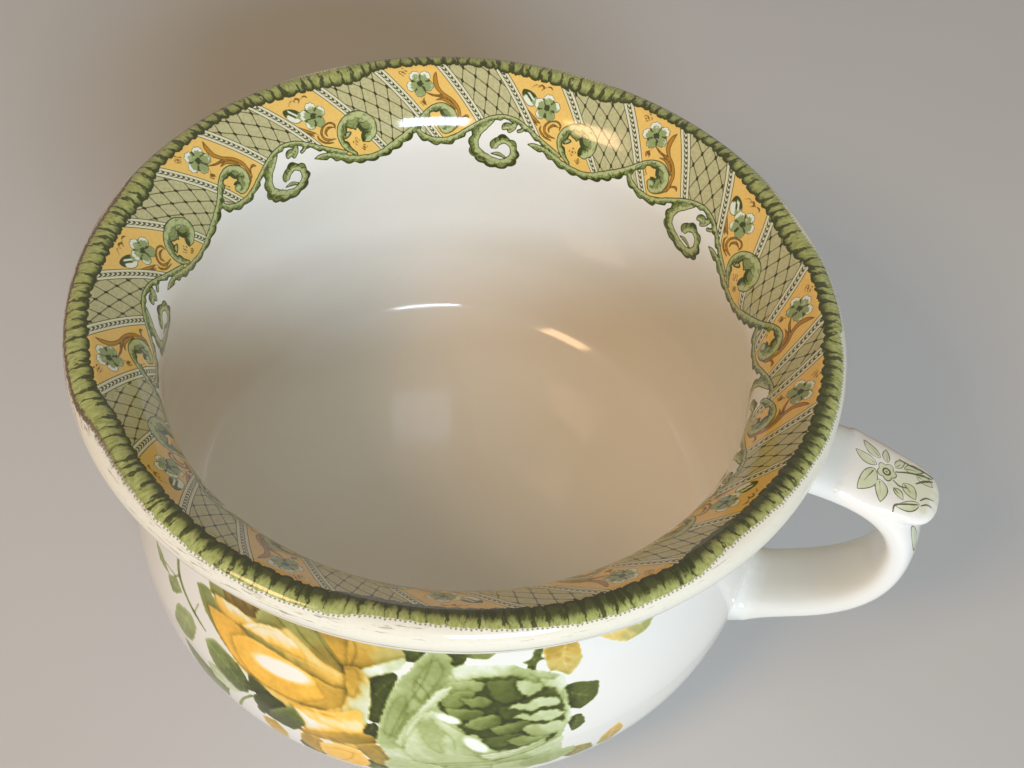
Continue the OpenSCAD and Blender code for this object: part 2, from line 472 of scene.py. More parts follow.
# brown scrollwork on the yellow panels: u, v, half width
brownScrolls = (
    ((21.3, 0.6, 0.2), (20.9, 3, 0.8), (21.4, 6, 0.8), (23.4, 8.4, 0.6), (26.4, 10.4, 0.6), (28.7, 13.2, 0.7),
     (29.4, 16.4, 0.6), (28.9, 19.2, 0.4), (27.4, 21, 0.2)),
    ((17.2, 7.7, 0.2), (19.8, 8.8, 0.4), (22.4, 9.1, 0.45), (24.8, 9.4, 0.4)),
    ((20.6, 10.6, 0.2), (23, 10.2, 0.5), (25.6, 11.3, 0.6), (27.6, 13.6, 0.3)),
    ((29.5, 18.8, 0.5), (30.4, 16.6, 0.3), (32, 15.8, 0.55), (33, 16.6, 0.2)),
    ((17, 9, 0.15), (16.4, 10.6, 0.25), (17.4, 12.2, 0.15)),
    ((53.2, 10.4, 0.15), (55, 12.2, 0.6), (58, 14.2, 0.5), (59.8, 15, 0.2)),
    ((53.8, 12, 0.15), (56.2, 14, 0.4), (58.8, 15.8, 0.2)),
    ((67.3, 15.6, 0.2), (67.2, 13.8, 0.4), (65.4, 12.9, 0.35), (63, 13.6, 0.4), (61.6, 15.4, 0.5),
     (62, 17.4, 0.5), (64, 18.5, 0.45), (66.4, 18.7, 0.2)),
    ((66.6, 14.6, 0.2), (64.6, 14.5, 0.5), (63.2, 15.8, 0.45), (63.6, 17.2, 0.2)),
    ((60.2, 15.6, 0.2), (60, 17, 0.4), (62, 19, 0.4), (65.4, 19.9, 0.2)),
    ((56.3, 3.2, 0.15), (57.2, 1.9, 0.3), (58.4, 2.6, 0.3), (57.6, 3.6, 0.2)),
    ((58.8, 2.4, 0.15), (60.4, 1.9, 0.3), (61.4, 2.8, 0.15)),
    ((54.2, 3.4, 0.15), (55.2, 2.2, 0.25), (56.2, 2.2, 0.15)),
)
smallRosettes = ((10.2, 0.4, 1.5), (18.3, 17.6, 1.6), (16.2, 11.2, 1.1), (74.2, 21.4, 1.5), (77, 24.2, 1.2))
# u, v, radius, turn of the first petal
flowers = ((15.6, 4.6, 4.9, 20.0), (60.8, 9.2, 4.9, 55.0))
# closed bud: u, v, half length, half width, turn
budShape = (53.9, 6.8, 3.5, 2.2, 42.0)


# Which strip a place belongs to, and its u on that strip; a strip starts along its first rope's edge
def stripPlace(turn, v):
    starts = np.array(border["stripStarts"])
    offsets = starts[0] - starts
    spans = np.diff(np.append(offsets, 360))
    usual = np.median(spans)
    spans[border["cutStrip"]] = usual
    lean = border["slant"] * v - border["ropeHalf"] * math.hypot(1, border["slant"])
    clockwise = (starts[0] - turn - lean * usual / border["unit"]) % 360
    strip = np.searchsorted(offsets, clockwise, side="right") - 1
    u = (clockwise - offsets[strip]) / spans[strip] * border["unit"] + lean
    return strip, u + border["shift"]


farGap = 4.0      # no stroke or shape reaches farther than this past its points
borderFar = 9.0   # the same for the border, in its own mm


# A smooth line through given points, several samples to each span
def drawn(points, samples=7):
    p = np.asarray(points, float)
    ends = np.concatenate([[2 * p[0] - p[1]], p, [2 * p[-1] - p[-2]]])
    t = (np.arange(samples) / samples)[:, None]
    spans = []
    for a, b, c, d in zip(ends, ends[1:], ends[2:], ends[3:]):
        spans.append(0.5 * (2 * b + (c - a) * t + (2 * a - 5 * b + 4 * c - d) * t * t
                            + (3 * b - a - 3 * c + d) * t ** 3))
    return np.concatenate(spans + [p[-1:]])


# teeth on one side of an acanthus band, and a slight wave on the other, in half widths
leafTeeth = {"high": 0.95, "curve": 1.6, "back": 0.25, "wave": 0.10}


# Distance from places to a drawn stroke, less its half width; side and run along it as well
def strokeGap(x, y, points, teeth=0):
    line = drawn(points)
    start, end = line[:-1, :2], line[1:, :2]
    way = end - start
    span = (way ** 2).sum(1)
    dx = x[:, None] - start[None, :, 0]
    dy = y[:, None] - start[None, :, 1]
    t = ((dx * way[:, 0] + dy * way[:, 1]) / span).clip(0, 1)
    away = np.hypot(dx - t * way[:, 0], dy - t * way[:, 1])
    half = line[:-1, 2] + t * (line[1:, 2] - line[:-1, 2])
    cross = np.sign(way[:, 0] * dy - way[:, 1] * dx)
    along = lengthAlong(line[:, :2])
    run = along[:-1] + t * np.sqrt(span)
    if teeth:
        saw = (run / along[-1] * teeth) % 1.0
        tooth = leafTeeth["high"] * saw ** leafTeeth["curve"] - leafTeeth["back"]
        half = half * (1 + np.where(cross > 0, tooth, leafTeeth["wave"] * (0.5 - saw)))
    gap = away - half
    best = gap.argmin(1)
    pick = (np.arange(len(x)), best)
    return gap[pick], (cross * away / half)[pick], run[pick]


def nearby(x, y, points, margin=farGap):
    p = np.asarray(points, float)
    low, high = p[:, :2].min(0) - margin, p[:, :2].max(0) + margin
    return np.flatnonzero((x > low[0]) & (x < high[0]) & (y > low[1]) & (y < high[1]))


def strokesOver(u, v, strokes, repeat):
    gap = np.full(len(u), borderFar)
    side = np.zeros(len(u))
    run = np.zeros(len(u))
    for points, teeth in strokes:
        for shift in (-repeat, 0, repeat):
            at = nearby(u + shift, v, points)
            if len(at) == 0:
                continue
            g, s, r = strokeGap(u[at] + shift, v[at], points, teeth)
            closer = g < gap[at]
            gap[at[closer]] = g[closer]
            side[at[closer]] = s[closer]
            run[at[closer]] = r[closer]
    return gap, side, run


def turned(x, y, cx, cy, degrees):
    lean = math.radians(degrees)
    dx, dy = x - cx, y - cy
    return dx * math.cos(lean) + dy * math.sin(lean), dy * math.cos(lean) - dx * math.sin(lean)


flowerLook = {
    "petals": 5,
    "hollow": 0.60,        # radius between the petals and how far they reach past it, in flower sizes
    "petalReach": 0.38,
    "petalCurve": 0.55,    # less than 1 makes broader petals
    "notches": 21,         # round the flower
    "notchDepth": 0.045,
    "light": (-0.45, -0.89),
    "petalTone": 0.46,
    "middleTone": 0.10,    # added along the middle of a petal
    "lightTone": 0.12,     # added on the side to the light
    "rimFrom": 0.74,       # share of the radius where the pale rim starts
    "rimTone": 0.34,
    "rimLightTone": 0.16,
    "foldHalf": 0.30,      # dark folds between the petals
    "foldFrom": 0.3,
    "foldTone": 0.18,
    "heart": 0.24,         # dark middle
    "heartTone": 0.1,
}


# One open flower with notched petals: distance to its edge, and its tone
def flowerShape(u, v, x, y, size, first):
    look = flowerLook
    dx, dy = u - x, v - y
    away = np.hypot(dx, dy)
    swing = np.arctan2(dy, dx) - math.radians(first)
    petal = np.abs(np.cos(look["petals"] / 2 * swing))  # 0 between the petals
    notch = look["notchDepth"] * np.cos(look["notches"] * swing) * petal
    edge = size * (look["hollow"] + look["petalReach"] * petal ** look["petalCurve"] + notch)
    out = away / edge
    toLight = (look["light"][0] * dx + look["light"][1] * dy) / np.maximum(away, 0.01)
    tone = look["petalTone"] + look["middleTone"] * petal + look["lightTone"] * toLight
    tone = np.where(out > look["rimFrom"], tone + look["rimTone"] + look["rimLightTone"] * toLight, tone)
    tone = np.where((petal < look["foldHalf"]) & (out > look["foldFrom"]), look["foldTone"], tone)
    tone = np.where(out < look["heart"], look["heartTone"], tone)
    return away - edge, tone


budLook = {
    "swell": 0.25,         # how much broader the bud is at its far end
    "paleFrom": (-1.6, 0.3),
    "lineAt": -0.7,        # a pale line along the bud
    "lineHalf": 0.35,
    "lineReach": 1.8,
    "cupFrom": 1.4,
    "paleTone": 0.9,
    "cupTone": 0.5,
    "darkTone": 0.1,
}


def budOutline(u, v):
    x, y, long, wide, lean = budShape
    dx, dy = turned(u, v, x, y, lean)
    gap = (np.hypot(dx / long, dy / (wide * (1 + budLook["swell"] * dx / long))) - 1) * wide
    side = (dx > budLook["paleFrom"][0]) & (dy > budLook["paleFrom"][1])
    line = (np.abs(dy - budLook["lineAt"]) < budLook["lineHalf"]) & (np.abs(dx) < budLook["lineReach"])
    under = np.where(dx > budLook["cupFrom"], budLook["cupTone"], budLook["darkTone"])
    return gap, np.where(side | line, budLook["paleTone"], under)


rosetteLook = {"lobes": 4, "radius": 0.74, "lobeReach": 0.2, "lineHalf": 0.2, "dotRadius": 0.4}


# Outline of a small rosette and the dot in its middle
def rosetteGap(u, v, x, y, size):
    away = np.hypot(u - x, v - y)
    lobe = np.cos(rosetteLook["lobes"] * np.arctan2(v - y, u - x))
    edge = size * (rosetteLook["radius"] + rosetteLook["lobeReach"] * lobe)
    return np.minimum(np.abs(away - edge) - rosetteLook["lineHalf"], away - rosetteLook["dotRadius"])


def borderFields(turn, v):
    _, u = stripPlace(turn, v)
    fold = u % border["unit"]
    bandGap, bandSide, bandRun = strokesOver(fold, v, greenBands, border["unit"])
    brownGap, _, _ = strokesOver(fold, v, [(points, 0) for points in brownScrolls], border["unit"])
    for row in smallRosettes:
        brownGap = np.minimum(brownGap, rosetteGap(fold, v, *row))
    flowerGap = np.full(len(u), borderFar)
    flowerTone = np.zeros(len(u))
    shapes = [flowerShape(fold, v, *row) for row in flowers] + [budOutline(fold, v)]
    for gap, tone in shapes:
        closer = gap < flowerGap
        flowerGap = np.where(closer, gap, flowerGap)
        flowerTone = np.where(closer, tone, flowerTone)
    edge = np.array(border["groundEdge"])
    groundGap = np.interp(fold, edge[:, 0], edge[:, 1], period=border["unit"]) - v
    rim = np.array(border["gadroon"])
    fromRope = fold - border["shift"]
    rimInner = np.interp(fromRope, rim[:, 0], rim[:, 1], period=border["unit"]) - v
    rimOuter = v - np.interp(fromRope, rim[:, 0], rim[:, 2], period=border["unit"])
    return {
        "bandGap": bandGap, "bandSide": bandSide, "bandRun": bandRun, "brownGap": brownGap,
        "flowerGap": flowerGap, "flowerTone": flowerTone.clip(0, 1), "groundGap": groundGap,
        "rimInner": rimInner, "rimOuter": rimOuter,
    }


def decorateBorder(mesh):
    lay = layOf(mesh)
    smoothSkin(mesh, lay["normal"])
    v = flareLength - lay["along"]
    for name, values in borderFields(lay["turn"], v).items():
        addField(mesh, name, values)
    vertex, face = cornersOf(mesh)
    middle, turn = cornerTurns(lay["turn"], face, vertex)
    strip, u = stripPlace(middle, faceMean(v, face, vertex))
    starts = np.array(border["stripStarts"])
    spans = -np.diff(np.append(starts, starts[0] - 360))
    spans[border["cutStrip"]] = np.median(spans)
    u = u - (turn - middle) / spans[strip] * border["unit"]
    addMap(mesh, "borderMap", strip * border["unit"] + u, v[vertex])
    return lay


def spunRing(name, points, columns):
    bm = bmesh.new()
    lathe(bm, points, True, 0, 360, columns)
    return meshFrom(bm, name)


lipRing = {
    "columns": 1320,
    "printStep": 0.5,     # spacing under the printed border
    "plainStep": 1.1,
    "printedRoll": 9.0,   # how much of the roll is printed
    "mapRows": 4,
}
flarePart = between(insideWall, lipSeam, potHeight)
lipProfile = joined(
    spaced(flarePart, lipRing["printStep"]),
    spaced(before(rollArc, lipRing["printedRoll"]), lipRing["printStep"]),
    spaced(beyond(rollArc, lipRing["printedRoll"]), lipRing["plainStep"]),
    spaced(beadArc, lipRing["plainStep"]),
    spaced(between(outsideWall, lipSeam, potHeight), lipRing["plainStep"]),
)
lip = spunRing("lip_roll_glazed", lipProfile, lipRing["columns"])
lipLay = decorateBorder(lip.data)
lipStart = lengthAt(flarePart[0])
lipSpan = lengthAt(between(outsideWall, lipSeam, potHeight)[-1]) - lipStart
addFinishMap(lip.data, lipLay, lipRing["mapRows"], ((lipLay["along"] - lipStart) / lipSpan).clip(0, 1))
print("lip spun,", len(lip.data.polygons), "faces")

collarRing = {
    "columns": lipRing["columns"],
    "printStep": 0.5,
    "plainStep": 2.4,
    "mapRows": 4,
    "insideShare": 0.6,     # share of the finish map, and where the outside starts on it
    "outsideFrom": 0.62,
}
collarInside = between(insideWall, collarSeam, lipSeam)
collarOutside = between(outsideWall, collarSeam, lipSeam)
collarProfile = np.concatenate([
    spaced(collarInside, collarRing["printStep"]),
    spaced(collarOutside, collarRing["plainStep"]),
])
collar = spunRing("collar_glazed", collarProfile, collarRing["columns"])
collarLay = decorateBorder(collar.data)
insideSpan = lengthAt(collarInside[-1]) - lengthAt(collarInside[0])
outsideSpan = lengthAt(collarOutside[-1]) - lengthAt(collarOutside[0])
collarShare = np.where(
    collarLay["along"] < flareLength,
    (collarLay["along"] - lengthAt(collarInside[0])) / insideSpan * collarRing["insideShare"],
    collarRing["outsideFrom"]
    + (collarLay["along"] - lengthAt(collarOutside[0])) / outsideSpan * (1 - collarRing["outsideFrom"]),
)
addFinishMap(collar.data, collarLay, collarRing["mapRows"], collarShare.clip(0, 1))
print("collar spun,", len(collar.data.polygons), "faces")


# Spray of roses on the belly: x runs round the pot and y down from the collar, in mm
# A tone goes from 0, darkest ink, to 1, bare white, and a yellow share from 0, green ink, to 1, yellow ink

spray = {
    "zeroTurn": -75.0,     # degrees round the pot where x is 0
    "radius": 105.4,
    "softEdge": 0.85,
    "shadow": 0.24,
    "shadowReach": 0.8,
    "corners": 0.45,       # 0 for round outlines, 1 for straight ones
    "light": (0.35, 0.94),
    "ripple": 0.15,        # how far an edge strays from its outline
    "frill": 0.12,
    "petalFrill": 0.30,
    "patches": 0.12,
    "grain": 0.06,
    "stepAt": 0.40,        # where along a shape its first tone gives way to its second
    "stepWide": 0.2,
    "rimReach": 0.75,
    "rimShare": 0.45,      # strength of a pale rim side on to the light, and what facing it adds
    "rimLight": 0.75,
    "gleamSharp": 2.4,
    "gleamFull": 0.35,
    "stemTone": 0.38,
    "stemYellow": 0.05,
    "veinChange": 0.12,
    "roseLineChange": -0.20,
    "petalLineChange": -0.18,
    "halfLength": 125.0,
    "backTurn": 112.0,     # the smaller spray on the far side
    "backShift": 40.0,
}
# Each shape: tones where it starts and ends, the way from start to end in degrees,
# yellow shares at start and end, pale rim, and the outline as x, y
backLeaves = (
    ((0.54, 0.44), 90, (0.0, 0.0), 0.1, (
        (-85, 42), (-78, 39), (-74, 43), (-76, 52), (-81, 54), (-86, 51),
    )),
    ((0.3, 0.4), 60, (0.0, 0.0), 0.26, (
        (-81, 56), (-74, 57), (-62, 60), (-61, 68), (-72, 71), (-79, 64),
    )),
    ((0.72, 0.84), 60, (0.0, 0.0), 0.06, ((-69, 54), (-62, 51), (-54, 54), (-57, 60), (-66, 61.6))),
    ((0.48, 0.44), 0, (0.0, 0.0), 0.05, ((-103, 31), (-96, 32), (-91, 35), (-98, 36))),
    ((0.48, 0.42), 90, (0.0, 0.0), 0.05, ((-92, 36), (-87, 32), (-83, 35), (-88, 40))),
    ((0.42, 0.26), 30, (0.0, 0.0), 0.4, (
        (-70, 43), (-66, 39), (-57, 41), (-52, 45), (-51, 52), (-56, 56), (-66, 51),
    )),
    ((0.2, 0.16), 0, (0.0, 0.0), 0.04, ((-51, 43), (-46, 41), (-41, 45), (-45, 51), (-50, 49))),
    ((0.18, 0.3), 80, (0.0, 0.0), 0.24, (
        (-49, 51), (-41, 46), (-32, 47), (-31, 53), (-36, 60), (-44, 60), (-49, 56),
    )),
    ((0.44, 0.56), 90, (0.85, 0.6), 0.12, ((-47, 63), (-42, 61), (-38, 66), (-39, 73), (-44, 73))),
    ((0.22, 0.16), 0, (0.0, 0.0), 0.1, ((-34, 67), (-31, 61), (-24, 63), (-25, 72), (-32, 73))),
    ((0.15, 0.22), 90, (0.0, 0.0), 0.05, (
        (-15, 22), (-10, 17), (-4, 17), (-6, 27), (-8, 40), (-13, 39), (-15, 28),
    )),
    ((0.15, 0.18), 0, (0.0, 0.0), 0.03, ((-19, 48), (-10, 40), (-7, 48))),
    ((0.16, 0.18), 0, (0.0, 0.0), 0.03, ((-5, 50), (2, 46), (1, 56), (-3, 54))),
    ((0.5, 0.22), 30, (0.0, 0.0), 0.16, ((-11, 3), (0, 1), (5, 4), (0, 11), (-6, 9))),
    ((0.22, 0.46), 0, (0.0, 0.0), 0.14, (
        (4, 4), (9, 1.2), (17, 0.6), (30, 2.6), (26, 5), (22, 8.6), (15, 7.5), (9, 6),
    )),
    ((0.17, 0.22), 90, (0.0, 0.0), 0.04, ((10, 6), (16, 7), (14.5, 13), (14.8, 20), (12, 14))),
    ((0.22, 0.26), 90, (0.0, 0.0), 0.04, (
        (33, 18), (34.4, 13), (32.6, 11.8), (35.4, 10.4), (37, 4), (39.4, 4.4), (38.4, 10), (39.6, 12),
        (37.6, 12.6), (36.6, 17),
    )),
    ((0.44, 0.64), 100, (0.7, 0.4), 0.1, (
        (39, 8), (42, 5), (47, 4), (51, 10), (51.6, 17), (47.6, 22), (44, 19), (41, 17),
    )),
    ((0.72, 0.54), 0, (0.8, 0.1), 0.12, (
        (54, 6.5), (60, 8.5), (66, 8.5), (72, 12.5), (79, 10), (75, 17), (67, 17.5), (61, 13),
    )),
    ((0.18, 0.22), 0, (0.0, 0.0), 0.05, (
        (45, 28), (49, 26), (57.6, 29.5), (56.8, 36.5), (51.5, 39.6), (46.5, 36),
    )),
    ((0.17, 0.2), 0, (0.0, 0.0), 0.04, ((47.5, 43), (50, 41.4), (52.4, 42.6), (53.4, 47.4), (49, 50))),
    ((0.52, 0.44), 90, (0.8, 0.5), 0.14, ((61, 63), (66, 58), (69, 65), (65, 72), (60, 70))),
    ((0.42, 0.32), 60, (0.55, 0.2), 0.12, ((51, 62), (57, 64), (59, 71), (52, 72), (48, 67))),
    ((0.26, 0.38), 30, (0.0, 0.0), 0.2, ((-12, 63), (-4, 62), (4, 66), (2, 73), (-8, 74), (-13, 69))),
    ((0.2, 0.34), 60, (0.0, 0.0), 0.16, ((8, 69), (14, 70), (19, 75), (17, 80.5), (10, 78), (6, 74))),
    ((0.3, 0.44), 120, (0.0, 0.0), 0.14, ((24, 70), (31, 70), (34, 74), (30, 78), (23, 81), (22, 75))),
)
# x, y, half width
stemRows = (
    ((-88, 20, 0.95), (-85.5, 29, 0.85), (-79, 35, 0.75), (-70, 39.5, 0.6)),
    ((-85.5, 29, 0.35), (-89, 34, 0.3)),
    ((-96, 33, 0.35), (-87, 31.5, 0.35)),
    ((-76, 37, 0.3), (-74.5, 31, 0.3)),
    ((-57, 69, 0.5), (-54, 60, 0.6), (-50, 53, 0.5)),
    ((-62, 69, 0.4), (-60, 60, 0.45), (-57, 56, 0.4)),
)
yellowRose = (
    ((0.88, 0.74), 20, (0.6, 0.8), 0.0, (
        (-69, 13), (-62, 11), (-54, 10.5), (-46, 9), (-38, 8.5), (-30, 7), (-22, 6), (-14, 5), (-3, 10),
        (-12, 21), (-12, 40), (-13, 48), (-9, 57), (-20, 58), (-31, 56), (-35, 49), (-45, 45),
        (-53, 43), (-62, 37), (-71, 31), (-76, 23), (-68, 21),
    )),
    ((0.34, 0.22), 0, (0.7, 0.85), 0.04, (
        (-69, 12), (-64, 8), (-56, 5.8), (-50, 6.8), (-45, 10.5), (-50, 15.6), (-58, 18.4), (-66, 19),
    )),
    ((0.46, 0.38), 90, (0.15, 0.25), 0.14, (
        (-71.5, 14), (-67, 11.8), (-63.5, 17), (-64, 21.5), (-70, 20),
    )),
    ((0.28, 0.18), 90, (0.95, 0.75), 0.05, (
        (-62, 11.4), (-57.6, 8.4), (-52, 8.6), (-47.6, 11.8), (-52, 16.6), (-58, 17.6),
    )),
    ((0.52, 0.42), 30, (0.15, 0.3), 0.24, (
        (-51, 14), (-48.4, 8.4), (-44.4, 4.4), (-40.6, 5), (-38.6, 10), (-44, 17), (-50, 18.6),
    )),
    ((0.48, 0.36), 60, (0.15, 0.65), 0.18, (
        (-43, 10), (-39.4, 5.2), (-34, 3.2), (-29.6, 6.8), (-24, 14.4), (-18.6, 21.6), (-26, 20.6),
        (-35, 15),
    )),
    ((0.36, 0.5), 90, (0.8, 0.95), 0.12, (
        (-33, 7), (-28.4, 2.4), (-23, 1), (-18.6, 4.4), (-16.6, 11), (-18.6, 20), (-23, 15.4), (-29, 8),
    )),
    ((0.42, 0.6), 340, (0.95, 0.25), 0.12, (
        (-19.6, 6), (-15.4, 1.4), (-9.4, 0.8), (-4.4, 4), (-2, 9), (-8, 14.6), (-16, 20), (-19.4, 18),
    )),
    ((0.94, 0.8), 330, (0.05, 0.0), 0.04, (
        (-17.4, 20), (-10, 14), (-2, 9), (-3, 14), (-9, 18.6), (-15, 21.4),
    )),
    ((0.94, 0.6), 100, (0.55, 1.0), 0.04, (
        (-68, 19.6), (-58, 17.4), (-50, 18.4), (-42, 17), (-44, 22.6), (-53, 25.6), (-63, 26),
    )),
    ((0.42, 0.58), 40, (0.0, 1.0), 0.1, (
        (-76.5, 22.4), (-71, 19.6), (-66, 23.6), (-58, 30), (-51, 36), (-48, 43), (-56, 41), (-64, 36),
        (-71, 30.6),
    )),
    ((0.54, 0.64), 40, (1.0, 1.0), 0.06, (
        (-70, 27), (-62, 24.6), (-54, 25), (-49, 30), (-44, 42.6), (-55, 40.6), (-64, 35),
    )),
    ((0.88, 0.58), 70, (0.8, 1.0), 0.1, (
        (-55.6, 23.4), (-50, 17.6), (-43, 15), (-36, 17.6), (-32, 23.6), (-40, 24.6), (-48, 23.6),
    )),
    ((0.4, 0.54), 10, (0.25, 0.85), 0.18, (
        (-56, 23.8), (-46, 23.4), (-36, 22.8), (-26, 23.6), (-18.6, 27), (-24, 30), (-36, 28),
        (-47, 27),
    )),
    ((0.58, 0.64), 300, (1.0, 1.0), 0.05, (
        (-59, 31), (-53, 26), (-44, 25.4), (-34, 27), (-24, 29.6), (-19, 29.4), (-20.6, 36),
        (-28, 41.6), (-39, 43.4), (-50, 41.6), (-56, 37),
    )),
    ((0.5, 0.46), 30, (0.9, 0.85), 0.1, (
        (-30, 28), (-24, 29.4), (-18.6, 29), (-20, 36.4), (-27, 42), (-33, 42.6), (-25, 36),
    )),
    ((0.46, 0.9), 20, (0.9, 0.05), 0.08, (
        (-20.6, 19), (-16, 17.6), (-12.4, 22), (-11.4, 31), (-12, 41), (-15.6, 45.6), (-20, 40),
        (-18.6, 29),
    )),
    ((0.44, 0.52), 90, (0.9, 0.8), 0.05, ((-20, 20.5), (-17, 19), (-15.4, 24), (-16.8, 31), (-19, 29))),
    ((0.58, 0.86), 80, (1.0, 0.95), 0.06, (
        (-36, 45), (-31, 43), (-22, 40.6), (-16, 36.4), (-13.6, 38), (-13.4, 46.6), (-21, 50),
        (-30, 49.4),
    )),
    ((0.98, 0.86), 340, (0.8, 1.0), 0.0, (
        (-35, 45.6), (-29, 48), (-20, 49), (-23, 52), (-30, 55), (-33.4, 51.4),
    )),
    ((0.46, 0.36), 20, (0.95, 0.8), 0.24, (
        (-34, 57), (-27, 52.4), (-20, 48.6), (-11, 46.6), (-8.6, 50), (-14, 53.4), (-22, 57),
        (-31, 59.4),
    )),
    ((0.36, 0.46), 20, (0.8, 0.65), 0.22, (
        (-15, 54.6), (-10, 51), (-4, 54), (-1, 60), (-3, 66), (-9, 65), (-13, 60),
    )),
    ((0.14, 0.16), 0, (0.0, 0.0), 0.05, (
        (-51.6, 43), (-46, 43.8), (-44.4, 45.8), (-48.4, 49.6), (-51, 50.4),
    )),
    ((0.13, 0.17), 90, (0.0, 0.0), 0.06, (
        (-48.4, 49.8), (-44, 46.8), (-38.6, 46.6), (-44.6, 54), (-45.6, 60.4), (-48.2, 60),
    )),
    ((0.28, 0.18), 60, (0.0, 0.0), 0.26, (
        (-43.6, 55), (-37.4, 47.4), (-34.8, 46.4), (-31, 51.6), (-33, 57), (-36, 60.8), (-43.4, 60),
    )),
    ((0.38, 0.48), 0, (0.85, 0.85), 0.1, ((-33, 60), (-27, 57.6), (-24, 64), (-27, 71), (-33, 67))),
    ((0.62, 0.58), 90, (1.0, 1.0), 0.24, (
        (-27, 62), (-22, 58), (-15, 57.4), (-12, 62), (-11, 68), (-16, 73.4), (-25, 72),
    )),
)
# lines of shade on the yellow rose: x, y, half width
roseLines = (
    ((-58, 24.4, 0.15), (-52, 23.2, 0.3), (-46, 23.4, 0.2)),
    ((-53, 23, 0.12), (-49, 18.4, 0.25), (-43, 16.2, 0.1)),
    ((-44, 42.8, 0.1), (-34, 42.6, 0.3), (-25, 40.6, 0.15)),
    ((-34, 44.2, 0.1), (-28, 43.6, 0.4), (-22, 43, 0.1)),
    ((-31, 7, 0.1), (-26, 14, 0.25), (-20.5, 20, 0.3)),
    ((-38, 8.4, 0.1), (-34, 13, 0.3), (-28, 17, 0.1)),
    ((-58, 10.5, 0.1), (-56, 13, 0.3), (-53, 15.6, 0.1)),
    ((-54, 9.5, 0.1), (-52, 12, 0.3), (-50, 14, 0.1)),
    ((-25, 64, 0.1), (-20, 61, 0.3), (-14, 62, 0.1)),
    ((-21, 72, 0.1), (-17, 66, 0.25), (-16, 61, 0.1)),
    ((-18.6, 5, 0.1), (-17, 11, 0.3), (-18.4, 18, 0.2)),
    ((-24, 55, 0.1), (-19, 56.4, 0.25), (-14, 57.4, 0.1)),
)
# white gleams: x, y, half length, half width, turn
roseGleam = (-40.0, 31.6, 10.5, 3.8, -8.0)
